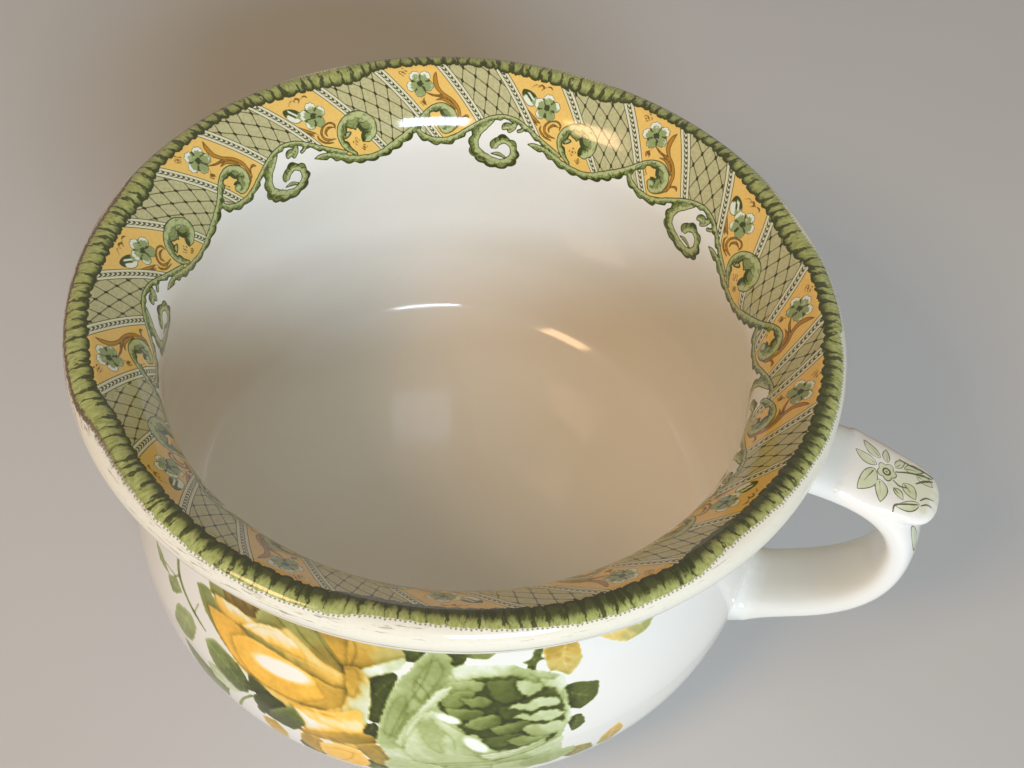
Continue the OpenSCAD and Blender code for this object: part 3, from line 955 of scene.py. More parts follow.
# the green rose has no yellow, so its rows have no yellow shares
greenRose = (
    ((0.86, 0.8), 60, 0.0, (
        (0, 12), (6, 5), (12, 11), (22, 10.6), (34, 14.6), (45, 21), (48.4, 40), (46, 51), (47, 60),
        (40, 69), (8, 71), (-2, 66), (-8, 51), (-7, 36),
    )),
    ((0.9, 0.72), 60, 0.06, (
        (11.5, 13), (15, 10), (22, 10.5), (30, 12), (34, 16), (31, 20), (22, 18.5), (15, 20),
    )),
    ((0.62, 0.7), 0, 0.1, (
        (30, 14), (35, 15), (37, 18), (41, 19), (43, 23), (38, 26), (34, 27), (31, 21),
    )),
    ((0.82, 0.88), 0, 0.08, (
        (38, 20.5), (42, 22), (46, 20.6), (47, 26), (45, 29), (48, 36), (49, 42), (46, 48), (43, 51),
        (43, 44), (44, 36), (41, 28),
    )),
    ((0.26, 0.24), 0, 0.04, (
        (7, 22), (14, 18.5), (21, 16.5), (31, 17.5), (37, 24), (43, 26), (46, 34), (46.5, 42), (43, 50),
        (33, 52.5), (23, 50), (15, 39), (9, 30),
    )),
    ((0.66, 0.52), 40, 0.12, ((6, 23), (11, 18.5), (18, 17.5), (22, 19), (20, 22.6), (14, 24), (9, 27))),
    ((0.5, 0.42), 30, 0.16, ((9, 25), (15, 22), (19, 23), (18, 27), (13, 30), (9.5, 29))),
    ((0.46, 0.36), 20, 0.18, ((15, 25.6), (18, 25.4), (21, 24.6), (24, 27), (23.4, 29.4), (18, 29.6))),
    ((0.44, 0.32), 60, 0.14, ((10, 30), (15, 30), (21, 31), (22, 33.6), (16, 35.6), (12, 33))),
    ((0.28, 0.24), 90, 0.06, (
        (22, 19), (25, 18), (28, 18.6), (31, 18), (34, 23), (33, 28), (28, 29), (24, 25.6),
    )),
    ((0.74, 0.66), 20, 0.06, (
        (31, 20), (34, 19.6), (37, 22), (40, 22.4), (39, 25.4), (35, 27.4), (32.4, 25),
    )),
    ((0.46, 0.34), 40, 0.2, ((16, 38), (19, 34.6), (24, 33.4), (27, 34.4), (27, 38.6), (21, 40.4))),
    ((0.22, 0.26), 0, 0.03, ((26, 31), (31, 29.6), (34, 33), (33, 36.4), (28, 36.6))),
    ((0.44, 0.32), 40, 0.18, ((24, 40), (28, 38.6), (35, 38), (36.4, 40.6), (33, 43.4), (27, 44))),
    ((0.26, 0.3), 0, 0.05, ((21, 44.6), (28, 43.6), (34, 44), (33, 48.4), (26, 50), (23, 48))),
    ((0.68, 0.8), 0, 0.08, (
        (29, 31.4), (32, 29.6), (34.4, 30.6), (37, 28.6), (41, 29.4), (45, 31.6), (44, 34.4),
        (39, 33.2), (36, 34.4), (33, 32.6),
    )),
    ((0.64, 0.78), 0, 0.1, (
        (30.6, 35.8), (33.6, 34.6), (36, 36.2), (39, 35), (43.6, 36.2), (46.6, 38.8), (43, 40.8),
        (38, 39.6), (35, 38.4),
    )),
    ((0.56, 0.74), 0, 0.14, (
        (33.4, 41.8), (37, 40.4), (40, 42), (44, 41.4), (47, 44), (45, 47.6), (40, 48.4), (36, 46.4),
    )),
    ((0.4, 0.52), 0, 0.12, ((29, 46.8), (34, 45.4), (38, 47.4), (43, 48.6), (40, 51), (33, 51))),
    ((0.56, 0.66), 120, 0.2, (
        (0, 13), (3.4, 6.4), (6, 4), (9, 5.4), (11.6, 8), (10.4, 16), (7.6, 23), (3, 32), (-1, 42),
        (-3.4, 50), (-6, 51.4), (-9, 50), (-8.6, 40), (-6.6, 28), (-3.4, 18),
    )),
    ((0.5, 0.6), 100, 0.02, ((3.6, 13), (7, 9), (9, 14), (6.4, 21), (3, 27), (1, 22))),
    ((0.5, 0.58), 100, 0.02, ((-4, 28), (-1.4, 26), (-1, 34), (-4, 44), (-6.6, 44), (-6, 35))),
    ((0.84, 0.78), 90, 0.1, (
        (8, 22), (12, 20.5), (10, 25), (5, 33.5), (1, 43), (-1, 50), (-3.4, 48), (-0.6, 38), (4, 29),
    )),
    ((0.8, 0.66), 60, 0.14, (
        (0, 40), (3, 34), (7, 31), (10, 36), (17, 42.5), (23.5, 49), (28.5, 55.5), (25, 61), (7, 62),
        (-0.5, 52),
    )),
    ((0.56, 0.64), 70, 0.02, (
        (3, 38), (6.4, 35), (8.6, 39), (10.4, 42), (9, 46), (10.4, 51), (7, 49), (4.6, 44),
    )),
    ((0.66, 0.6), 20, 0.1, ((16, 43), (19, 42), (22, 45), (20, 48.4), (24, 52), (20, 51.6), (17, 47.6))),
    ((0.84, 0.72), 350, 0.1, (
        (21, 53.6), (28, 53), (36, 51), (41, 49.4), (40, 53), (33, 56), (25, 57.4),
    )),
    ((0.58, 0.76), 0, 0.14, (
        (27, 58.4), (36, 55.6), (42, 52.4), (47, 50.6), (46, 56.5), (38, 60.4), (30, 61),
    )),
    ((0.66, 0.76), 60, 0.12, ((-3, 58), (8, 60), (14, 64), (13, 70), (6, 73), (-4, 70), (-7, 63))),
    ((0.58, 0.74), 80, 0.14, ((12, 61), (21, 61.4), (28, 63), (28, 69), (21, 73.4), (13, 71))),
    ((0.64, 0.74), 100, 0.12, ((26, 62), (34, 61), (40, 64), (38, 70), (31, 72), (26, 69))),
    ((0.48, 0.6), 0, 0.14, ((36, 61.5), (44, 60), (51, 60.4), (51.4, 65.6), (43, 70), (35, 66.5))),
)
petalLines = (
    ((6, 7, 0.1), (3.6, 18, 0.25), (-1.6, 32, 0.25), (-5.6, 47, 0.1)),
    ((0.6, 18, 0.05), (4, 22, 0.3), (5.6, 25.6, 0.1)),
    ((10.6, 22.6, 0.1), (5.4, 31.6, 0.25), (0.6, 43, 0.3), (-1.4, 51, 0.1)),
    ((4, 60, 0.1), (14, 58.6, 0.35), (26, 58.4, 0.3), (37, 55, 0.1)),
    ((22, 57, 0.1), (31, 55.2, 0.3), (40, 50.6, 0.3), (44, 47, 0.1)),
    ((10, 40, 0.1), (13, 44, 0.25), (14, 49, 0.1)),
    ((17, 52.6, 0.1), (24, 54.6, 0.3), (30, 53.6, 0.1)),
    ((35, 17, 0.1), (38, 20.6, 0.3), (40.6, 26, 0.1)),
)
whiteGaps = ((11.6, 34.6, 4.4, 1.7, 28.0), (20.0, 47.6, 6.0, 2.3, 50.0))


# Waves that keep the printed shapes from looking ruled, each from -1 to 1
def rippleAt(x, y):
    return np.sin(1.3 * x + 0.4 * y) * np.sin(1.5 * y - 0.3 * x)


def frillAt(x, y):
    return np.sin(1.8 * x + 0.9 * np.sin(1.1 * y)) * np.sin(2.1 * y + 0.7 * np.sin(0.9 * x))


def patchAt(x, y):
    return np.sin(0.55 * x + 1.0) * np.sin(0.7 * y)


class Print:
    def __init__(self, x, y):
        self.x, self.y = x, y
        self.tone = np.ones(len(x))
        self.yellow = np.zeros(len(x))
        self.cover = np.full(len(x), farGap)

    # Lays one printed shape over what is there, with a soft shade on what lies under its edge
    def lay(self, at, gap, tone, yellow):
        mask = (0.5 - gap / spray["softEdge"]).clip(0, 1)
        under = spray["shadow"] * np.exp(-gap.clip(0, None) / spray["shadowReach"]) * (self.cover[at] < 0)
        base = self.tone[at] - under
        self.tone[at] = base + (tone - base) * mask
        fresh = np.where(self.cover[at] > 0, yellow, self.yellow[at])
        self.yellow[at] = fresh + (yellow - fresh) * mask
        self.cover[at] = np.minimum(self.cover[at], gap)

    def stem(self, points, tone, yellow):
        at = nearby(self.x, self.y, points)
        if len(at):
            gap, _, _ = strokeGap(self.x[at], self.y[at], points)
            self.lay(at, gap, tone, yellow)

    # A petal or a leaf: its edge ripples, and its tone steps from the first to the second in patches
    def shape(self, tones, degrees, yellows, rim, points, frill):
        at = nearby(self.x, self.y, points)
        if len(at) == 0:
            return
        x, y = self.x[at], self.y[at]
        gap, facing = outlineGap(x, y, points)
        gap = gap + spray["ripple"] * rippleAt(x, y) + frill * frillAt(x, y)
        lean = math.radians(degrees)
        down = np.asarray(points) @ (math.cos(lean), math.sin(lean))
        t = ((x * math.cos(lean) + y * math.sin(lean) - down.min()) / np.ptp(down)).clip(0, 1)
        patchy = t + spray["patches"] * patchAt(x, y) + spray["grain"] * np.sin(1.4 * x - 1.1 * y)
        turn = ((patchy - spray["stepAt"]) / spray["stepWide"]).clip(0, 1)
        share = 0.5 * t + 0.5 * turn * turn * (3 - 2 * turn)
        lit = spray["rimShare"] + spray["rimLight"] * facing.clip(-0.4, 1)
        edge = rim * lit * np.exp(gap.clip(None, 0) / spray["rimReach"])
        tone = tones[0] + (tones[1] - tones[0]) * share + edge
        self.lay(at, gap, tone, yellows[0] + (yellows[1] - yellows[0]) * share)

    # A line of shade or a pale rib on what is printed
    def line(self, points, change):
        at = nearby(self.x, self.y, points)
        if len(at):
            gap, _, _ = strokeGap(self.x[at], self.y[at], points)
            self.tone[at] += change * (0.5 - gap / spray["softEdge"]).clip(0, 1)

    # A soft oval of bare white
    def gleam(self, x, y, long, wide, degrees):
        at = np.flatnonzero(np.hypot(self.x - x, self.y - y) < long * 1.6)  # well past its edge
        lx, ly = turned(self.x[at], self.y[at], x, y, degrees)
        inside = 1 - np.hypot(lx / long, ly / wide)
        share = (inside * spray["gleamSharp"] + spray["gleamFull"]).clip(0, 1)
        self.tone[at] += (1.0 - self.tone[at]) * share


# Distance to a smooth closed outline, less than 0 inside, and how far its edge there faces the light
def outlineGap(x, y, points, samples=5):
    p = np.asarray(points, float)
    curve = drawn(np.concatenate([p[-2:], p, p[:2]]), samples)[2 * samples:-samples]
    steps = np.arange(len(curve)) / samples
    closed = np.concatenate([p, p[:1]])
    straight = np.stack([np.interp(steps, np.arange(len(closed)), closed[:, i]) for i in (0, 1)], 1)
    around = curve + (straight - curve) * spray["corners"]
    start, end = around[:-1], around[1:]
    way = end - start
    dx = x[:, None] - start[None, :, 0]
    dy = y[:, None] - start[None, :, 1]
    t = ((dx * way[:, 0] + dy * way[:, 1]) / (way ** 2).sum(1)).clip(0, 1)
    offX, offY = dx - t * way[:, 0], dy - t * way[:, 1]
    best = np.hypot(offX, offY).argmin(1)
    pick = (np.arange(len(x)), best)
    offX, offY = offX[pick], offY[pick]
    away = np.hypot(offX, offY)
    crosses = (start[:, 1] > y[:, None]) != (end[:, 1] > y[:, None])
    drop = np.where(way[:, 1] == 0, 1e-9, way[:, 1])
    reach = start[:, 0] + (y[:, None] - start[:, 1]) / drop * way[:, 0]
    inside = (crosses & (x[:, None] < reach)).sum(1) % 2 == 1
    facing = (offX * spray["light"][0] + offY * spray["light"][1]) / (away + 1e-6)
    return np.where(inside, -away, away), np.where(inside, facing, -facing)


veinLook = {
    "ribEnds": (0.12, 0.25),          # how far from the outline the rib starts and ends, as shares
    "ribHalf": (0.24, 0.2, 0.08),
    "sideAt": (0.25, 0.5, 0.75),      # where the side veins leave the rib
    "sideForward": 0.14,
    "sideOut": 0.22,
    "sideHalf": (0.1, 0.04),
}


# A leaf's rib, between the two places of its outline that lie farthest apart, and its side veins
def veinsOf(points):
    p = np.asarray(points, float)
    apart = np.hypot(p[:, None, 0] - p[None, :, 0], p[:, None, 1] - p[None, :, 1])
    a, b = np.unravel_index(apart.argmax(), apart.shape)
    middle = p.mean(0)
    first = p[a] + (middle - p[a]) * veinLook["ribEnds"][0]
    last = p[b] + (middle - p[b]) * veinLook["ribEnds"][1]
    veins = [tuple((*spot, half) for spot, half in zip((first, middle, last), veinLook["ribHalf"]))]
    way = last - first
    across = np.array((-way[1], way[0]))
    for share in veinLook["sideAt"]:
        root = first + way * share + (middle - (first + last) / 2) * 4 * share * (1 - share)
        for side in (-1, 1):
            tip = root + way * veinLook["sideForward"] + side * across * veinLook["sideOut"]
            veins.append(tuple((*spot, half) for spot, half in zip((root, tip), veinLook["sideHalf"])))
    return veins


def paintSpray(x, y, withGreen):
    sheet = Print(x, y)
    for points in stemRows:
        sheet.stem(points, spray["stemTone"], spray["stemYellow"])
    for row in backLeaves:
        sheet.shape(*row, spray["frill"])
        for vein in veinsOf(row[-1]):
            sheet.line(vein, spray["veinChange"])
    for row in yellowRose:
        sheet.shape(*row, spray["frill"])
    sheet.gleam(*roseGleam)
    for points in roseLines:
        sheet.line(points, spray["roseLineChange"])
    if withGreen:
        for tones, degrees, rim, points in greenRose:
            sheet.shape(tones, degrees, (0, 0), rim, points, spray["petalFrill"])
        for points in petalLines:
            sheet.line(points, spray["petalLineChange"])
        for row in whiteGaps:
            sheet.gleam(*row)
    return sheet


bowlSpin = {
    "insideColumns": 224,
    "insideStep": 3.2,
    "printStep": 0.58,
    "printDepth": 71.0,    # how far down the belly the print goes
    "plainStep": 3.0,
    # turn in degrees where a sector starts, and the columns in it
    "sectors": ((-134.0, 352), (-27.0, 32), (58.0, 184), (152.0, 32)),
    "floorPoints": 14,
    "insideSeamRadius": 92.5,
    "mapRows": 2,
    "insideShare": 0.22,   # share of the finish map, and where the outside starts on it
    "outsideFrom": 0.25,
}


def spinBowl():
    bm = bmesh.new()
    outside = between(outsideWall, footTop, collarSeam)
    rows = np.concatenate([
        spaced(before(outside, bowlSpin["printDepth"]), bowlSpin["printStep"]),
        spaced(beyond(outside, bowlSpin["printDepth"]), bowlSpin["plainStep"])[1:],
        [[footInner, footTop]],
    ])
    turns = [turn for turn, _ in bowlSpin["sectors"]]
    for (turn, columns), after in zip(bowlSpin["sectors"], turns[1:] + [turns[0] + 360]):
        lathe(bm, rows, False, turn, after - turn, columns)
    low = [e for e in bm.edges if e.is_boundary and e.verts[0].co.z < (footTop + 1) * mm]
    bmesh.ops.edgeloop_fill(bm, edges=low)
    inside = between(insideWall, pot["floorHeight"], collarSeam)
    floorLine = np.linspace((0, pot["floorHeight"]), floorEdge, bowlSpin["floorPoints"])
    inner = joined(floorLine, spaced(inside, bowlSpin["insideStep"]))
    lathe(bm, inner, False, 0, 360, bowlSpin["insideColumns"])
    rims = [e for e in bm.edges if e.is_boundary]
    bmesh.ops.triangle_fill(bm, edges=rims, use_beauty=True, use_dissolve=False, normal=(0, 0, 1))
    return meshFrom(bm, "bowl_glazed")


def decorateBowl(mesh):
    lay = layOf(mesh)
    under = (lay["height"] < footTop + 0.01) & (lay["radius"] < footRadius - 1)
    normal = np.where(under[:, None], (0, 0, -1), lay["normal"])
    smoothSkin(mesh, normal)
    y = lay["along"] - seamLength
    outside = (y > -0.01) & ~under
    perDegree = math.pi / 180 * spray["radius"]
    tone = np.ones(len(y))
    yellow = np.zeros(len(y))
    cover = np.full(len(y), farGap)
    for zero, side, withGreen in ((spray["zeroTurn"], 1, True), (spray["backTurn"], -1, False)):
        x = side * ((lay["turn"] - zero + 180) % 360 - 180) * perDegree
        x = x - (0 if withGreen else spray["backShift"])
        at = np.flatnonzero(outside & (np.abs(x) < spray["halfLength"]))
        sheet = paintSpray(x[at], y[at], withGreen)
        better = sheet.cover < cover[at]
        tone[at[better]] = sheet.tone[better]
        yellow[at[better]] = sheet.yellow[better]
        cover[at[better]] = sheet.cover[better]
    addField(mesh, "printTone", tone.clip(0, 1))
    addField(mesh, "printYellow", yellow.clip(0, 1))
    addField(mesh, "printGap", cover)
    inside = lay["along"] < flareLength
    insideEnd = lengthAt((bowlSpin["insideSeamRadius"], collarSeam))
    insideReach = np.interp(lay["along"], (0, insideEnd), (0, bowlSpin["insideShare"]))
    outsideStart = bowlSpin["outsideFrom"]
    outsideReach = outsideStart + (y / (lineLength[-1] - seamLength)).clip(0, 1) * (1 - outsideStart)
    addFinishMap(mesh, lay, bowlSpin["mapRows"], np.where(inside, insideReach, outsideReach).clip(0, 1))


bowl = spinBowl()
decorateBowl(bowl.data)
print("bowl spun,", len(bowl.data.polygons), "faces")

footSpin = {"columns": 256}
foot = spunRing("foot_ring_turned", footWall, footSpin["columns"])
smoothSkin(foot.data, layOf(foot.data)["normal"])
print("foot ring spun")


# Handle: strap, thumb rest and the slip that spreads on to the wall, joined in one skin

handle = {
    "out": 38.5,          # middle of the strap from the belly
    "drop": 22.0,         # from the lip's top to the strap's upper end
    "fall": 26.0,
    "low": 3.0,
    "wide": 26.5,
    "thick": 10.0,
    "clear": 9.0,         # strap's ends from the wall
    "lowAngle": 32.0,
    # how far each pull of the strap's curve reaches, as shares of its spans
    "topPull": 0.7,
    "topLift": 0.3,
    "risePull": 0.76,
    "fallPull": 0.54,
    "lowPull": 0.48,
    "step": 2.5,          # between the strap's sections, then the same inside its ends
    "endStep": 0.8,
    "endSections": 12,
    "thumbWide": 21.5,
    "thumbThick": 6.0,
    "thumbOut": 5.0,
    "thumbDip": 4.0,
    "thumbRoot": 80,      # point of the upper curve that the rest starts from
    "thumbSections": 26,
    "thumbCrowding": 1.6,  # more than 1 sets the sections closer at the tip
    "thumbTaper": 0.7,
    "tipRound": 9,
    "filletRadius": 7.0,
    "filletStart": 0.3,
    "sunk": 0.55,         # share of the wall that the ends reach into
    "lowFlare": 4.0,      # how much thicker the strap's lower end grows at the wall
    "flareReach": 18.0,
    "corner": 0.72,       # 1 is an oval section, less is squarer
    "sides": 40,
    "voxel": 0.62,
    "smoothing": 14,
    "sprigBox": ((120, -14, 105), (152, 14, 125)),
    "sprigCuts": 2,
    "sprigEasing": 3,
}


def handleLine():
    top = np.array([pot["throatRadius"] + pot["neckWall"] + handle["clear"], potHeight - handle["drop"]])
    side = np.array([bellyRadius + handle["out"], top[1] - handle["fall"]])
    low = np.array([bellyRadius + handle["clear"], pot["bellyHeight"] - handle["low"]])
    lean = math.radians(handle["lowAngle"])
    lowWay = np.array([-math.cos(lean), -math.sin(lean)])
    topPull = np.array([(side[0] - top[0]) * handle["topPull"], handle["thick"] * handle["topLift"]])
    risePull = np.array([0, handle["fall"] * handle["risePull"]])
    fallPull = np.array([0, (side[1] - low[1]) * handle["fallPull"]])
    lowPull = (side[0] - low[0]) * handle["lowPull"] * lowWay
    upper = bezier(top, top + topPull, side + risePull, side)
    lower = bezier(side, side - fallPull, low - lowPull, low)
    return upper, lower, -topPull / np.hypot(*topPull), lowWay


def sectionRing(bm, centre, way, wide, thick):
    ring = bmesh.ops.create_circle(bm, segments=handle["sides"], radius=1)["verts"]
    up = np.array([-way[1], way[0]])
    for vert in ring:
        across, raised = (math.copysign(abs(c) ** handle["corner"], c) for c in vert.co[:2])
        spot = centre + up * raised * thick / 2
        vert.co = Vector((spot[0], across * wide / 2, spot[1])) * mm
    return ring


def ringEdges(ring):
    own = set(ring)
    return [e for v in ring for e in v.link_edges if e.other_vert(v) in own]


def loftRings(bm, rings):
    for first, second in zip(rings, rings[1:]):
        bmesh.ops.bridge_loops(bm, edges=list(set(ringEdges(first) + ringEdges(second))))
    for ring in (rings[0], rings[-1]):
        bmesh.ops.contextual_create(bm, geom=ring)


def wallGap(point):
    radius = math.hypot(point[0], point[1])
    return radius - float(np.interp(-point[2], -outsideWall[:, 1], outsideWall[:, 0]))


# Spreads the strap's ends on to the wall with a round fillet
def spreadOnWall(ring, centre):
    reach = handle["filletRadius"]
    middle = Vector((centre[0], 0, centre[1])) * mm
    for vert in ring:
        gap = max(0.0, wallGap(vert.co / mm)) + handle["filletStart"]
        if gap < reach:
            grow = reach - math.sqrt(reach ** 2 - (reach - gap) ** 2)
            vert.co += (vert.co - middle).normalized() * grow * mm


def inWall(ring, way):
    step = Vector((way[0], 0, way[1])) * 0.1 * mm
    for vert in ring:
        while wallGap(vert.co / mm) > -handle["sunk"] * pot["wall"]:
            vert.co += step


# Splits the faces under the sprig, so its fine lines have enough points
def refineTop(mesh):
    bm = bmesh.new()
    bm.from_mesh(mesh)
    (x0, y0, z0), (x1, y1, z1) = handle["sprigBox"]
    inside = set()
    for vert in bm.verts:
        x, y, z = vert.co / mm
        if x0 < x < x1 and y0 < y < y1 and z0 < z < z1 and vert.normal.z > 0.05:
            inside.add(vert)
    edges = [e for e in bm.edges if e.verts[0] in inside and e.verts[1] in inside]
    made = bmesh.ops.subdivide_edges(bm, edges=edges, cuts=handle["sprigCuts"], use_grid_fill=True)
    fresh = [g for g in made["geom_inner"] if isinstance(g, bmesh.types.BMVert)]
    for _ in range(handle["sprigEasing"]):
        bmesh.ops.smooth_vert(bm, verts=fresh, factor=0.5, use_axis_x=True, use_axis_y=True, use_axis_z=True)
    bm.to_mesh(mesh)
    bm.free()


def strapRings(bm, upper, lower, topWay, lowWay):
    middle = spaced(joined(upper, lower), handle["step"])
    ways = np.gradient(middle, axis=0)
    ways /= np.hypot(*ways.T)[:, None]
    ends = handle["endStep"] * np.arange(handle["endSections"], 0, -1)
    stations = [(middle[0] + topWay * d, -topWay) for d in ends] + list(zip(middle, ways))
    stations += [(middle[-1] + lowWay * d, lowWay) for d in ends[::-1]]
    rings = []
    for number, (spot, way) in enumerate(stations):
        near = 1 - wallGap((spot[0], 0, spot[1])) / handle["flareReach"]
        grow = handle["lowFlare"] * min(1, max(0, near)) ** 2 if number > len(stations) / 2 else 0
        lowered = spot + np.array([-way[1], way[0]]) * grow / 2
        rings.append(sectionRing(bm, lowered, way, handle["wide"], handle["thick"] + grow))
    for ring, (spot, _) in zip(rings, stations):
        spreadOnWall(ring, spot)
    inWall(rings[0], topWay)
    inWall(rings[-1], lowWay)
    return rings


def thumbRings(bm, upper):
    at = handle["thumbRoot"]
    rootWay = upper[at + 1] - upper[at - 1]
    rootUp = np.array([-rootWay[1], rootWay[0]]) / np.hypot(*rootWay)
    root = upper[at] + rootUp * (handle["thick"] - handle["thumbThick"]) / 2
    tip = np.array([bellyRadius + handle["out"] + handle["thumbOut"], upper[0, 1] - handle["thumbDip"]])
    reach = tip - root
    way = reach / np.hypot(*reach)
    rings = []
    for s in 1 - (1 - np.linspace(0, 1, handle["thumbSections"])) ** handle["thumbCrowding"]:
        swell = math.sqrt(1 - (0.99 * s) ** handle["tipRound"])
        wide = handle["wide"] + (handle["thumbWide"] - handle["wide"]) * s ** handle["thumbTaper"]
        rings.append(sectionRing(bm, root + reach * s, way, wide * swell, handle["thumbThick"] * swell))
    return rings


def makeHandle():
    bm = bmesh.new()
    upper, lower, topWay, lowWay = handleLine()
    loftRings(bm, strapRings(bm, upper, lower, topWay, lowWay))
    loftRings(bm, thumbRings(bm, upper))
    rough = meshFrom(bm, "handle_rough")
    skin = rough.modifiers.new("oneSkin", "REMESH")
    skin.mode = "VOXEL"
    skin.voxel_size = handle["voxel"] * mm
    ease = rough.modifiers.new("ease", "SMOOTH")
    ease.factor = 0.5
    ease.iterations = handle["smoothing"]
    depsgraph = bpy.context.evaluated_depsgraph_get()
    mesh = bpy.data.meshes.new_from_object(rough.evaluated_get(depsgraph))
    mesh.name = "handle_glazed"
    bpy.data.objects.remove(rough)
    piece = bpy.data.objects.new("handle_glazed", mesh)
    scene.collection.objects.link(piece)
    refineTop(mesh)
    mesh.polygons.foreach_set("use_smooth", np.ones(len(mesh.polygons), bool))
    return piece


# Sprig printed on the thumb rest: x out from the pot, y across, half width
sprigLines = (
    ((136.7, 2.3, 0.2), (141.2, 4.5, 0.3), (147.5, 6.4, 0.2)),
    ((136.9, 7.6, 0.2), (140.4, 7.3, 0.3), (144.5, 7.6, 0.3), (148, 7.2, 0.2)),
    ((143.2, 1.6, 0.2), (145.4, 3.8, 0.4), (148, 5.6, 0.2)),
    ((138.6, -10.8, 0.2), (138.6, -8.8, 0.3), (141, -7.2, 0.3), (145, -5.2, 0.2)),
    ((136.4, -1.0, 0.15), (138.6, -2.0, 0.25), (141.0, -1.4, 0.15)),
    ((145.5, -3.4, 0.15), (147, -1.6, 0.25), (149.4, -0.8, 0.15)),
    ((146.0, -5.0, 0.15), (147.6, -3.6, 0.25), (149.2, -3.4, 0.15)),
)
# x, y, length, width, turn
sprigLeaves = (
    (131.2, 4.4, 7.0, 3.0, 146), (130.6, 1.4, 7.2, 3.2, 163), (130.4, -0.4, 9.6, 4.8, 249),
    (132.5, -3.0, 7.0, 3.8, 285), (133.6, 4.2, 4.8, 2.2, 103), (137.2, -3.6, 4.0, 2.2, 325),
    (139.6, -0.4, 5.6, 3.8, 322), (145.4, -4.8, 7.6, 3.0, 212), (139.0, 5.0, 6.0, 3.0, 20),
    (143.0, 4.6, 5.4, 3.2, 350), (136.4, 3.8, 4.4, 2.4, 60),
)
sprigFlower = {
    "x": 134.0, "y": 0.8, "radius": 3.1,
    "petals": 5, "hollow": 0.72, "petalReach": 0.28,
    "lineClear": 0.2,       # stems stop this far inside the flower's edge
    "beads": 7, "beadRing": 1.1, "beadWide": 0.8, "beadRadius": 0.3,   # round its middle
    "heart": 0.3,
}
# pale wash behind the scrolls: middle x, y and half sizes
sprigWash = (143.2, 0.6, 7.6, 7.4)
washSlope = 4.0       # growth of its gap for each half size
# a leaf that runs over on to the strap: middle y, z and half sizes
sideLeaf = (-7.6, 103.6, 1.9, 4.8)
sprigLowest = 109.0   # the sprig ends at this height
sprigFacing = 0.1     # and where the skin turns away from its side


# Distance to the edges of the sprig's leaves
def leafGaps(x, y):
    gaps = np.full(len(x), farGap)
    for middleX, middleY, length, width, degrees in sprigLeaves:
        at = np.flatnonzero(np.hypot(x - middleX, y - middleY) < length + farGap)
        lx, ly = turned(x[at], y[at], middleX, middleY, degrees)
        t = (lx / length).clip(0, 1)
        half = width / 2 * np.sin(np.pi * t ** 0.8) ** 0.75
        bend = ly - 0.06 * length * np.sin(np.pi * t)
        gap = np.maximum(np.abs(bend) - half, np.maximum(-lx, lx - length))
        gaps[at] = np.minimum(gaps[at], gap)
    return gaps


def leafRibs():
    ribs = []
    for x, y, length, _, degrees in sprigLeaves:
        lean = math.radians(degrees)
        way = np.array((math.cos(lean), math.sin(lean))) * length
        ribs.append(tuple((x + t * way[0], y + t * way[1], half) for t, half in ((0.1, 0.16), (0.62, 0.04))))
    return ribs


# Distance to the sprig's flower, and to the beads and the dot in its middle
def sprigFlowerGaps(x, y):
    look = sprigFlower
    away = np.hypot(x - look["x"], y - look["y"])
    swing = np.arctan2(y - look["y"], x - look["x"])
    petal = np.abs(np.cos(look["petals"] / 2 * swing))
    flower = away - look["radius"] * (look["hollow"] + look["petalReach"] * petal)
    beadSwing = np.abs((swing * look["beads"] / (2 * np.pi)) % 1.0 - 0.5) - 0.25
    beads = np.hypot(away - look["beadRing"], away * beadSwing * look["beadWide"]) - look["beadRadius"]
    return flower, np.minimum(beads, away - look["heart"])


def washGap(x, y):
    middleX, middleY, halfX, halfY = sprigWash
    gap = (np.hypot((x - middleX) / halfX, (y - middleY) / halfY) - 1) * washSlope
    return gap + 0.5 * np.sin(1.7 * x) + 0.4 * np.sin(2.3 * y)  # a wavy edge


def sideLeafGap(y, z):
    middleY, middleZ, halfY, halfZ = sideLeaf
    return (np.hypot((y - middleY) / halfY, (z - middleZ) / halfZ) - 1) * halfY


def decorateHandle(mesh):
    co = coordsOf(mesh)
    normal = np.empty(len(mesh.vertices) * 3, np.float32)
    mesh.vertices.foreach_get("normal", normal)
    outward, _, upward = normal.reshape(-1, 3).T
    x, y, z = co.T
    inkGap = np.full(len(x), farGap)
    for points in (*sprigLines, *leafRibs()):
        at = nearby(x, y, points)
        gap, _, _ = strokeGap(x[at], y[at], points)
        inkGap[at] = np.minimum(inkGap[at], gap)
    flower, middle = sprigFlowerGaps(x, y)
    inkGap = np.where(flower < -sprigFlower["lineClear"], farGap, inkGap)
    inkGap = np.minimum(inkGap, middle)
    cover = np.minimum(leafGaps(x, y), flower)
    hidden = farGap * ((upward < sprigFacing) | (z < sprigLowest))
    leaf = sideLeafGap(y, z) + farGap * (outward < sprigFacing)
    addField(mesh, "printGap", np.minimum(cover + hidden, leaf))
    addField(mesh, "flowerGap", flower + hidden)
    addField(mesh, "washGap", washGap(x, y) + hidden)
    addField(mesh, "inkGap", inkGap + hidden)


handlePiece = makeHandle()
decorateHandle(handlePiece.data)
print("handle joined,", len(handlePiece.data.polygons), "faces")


# Finishes

noiseSpan = (0.3, 0.7)  # where most of a noise texture's values lie


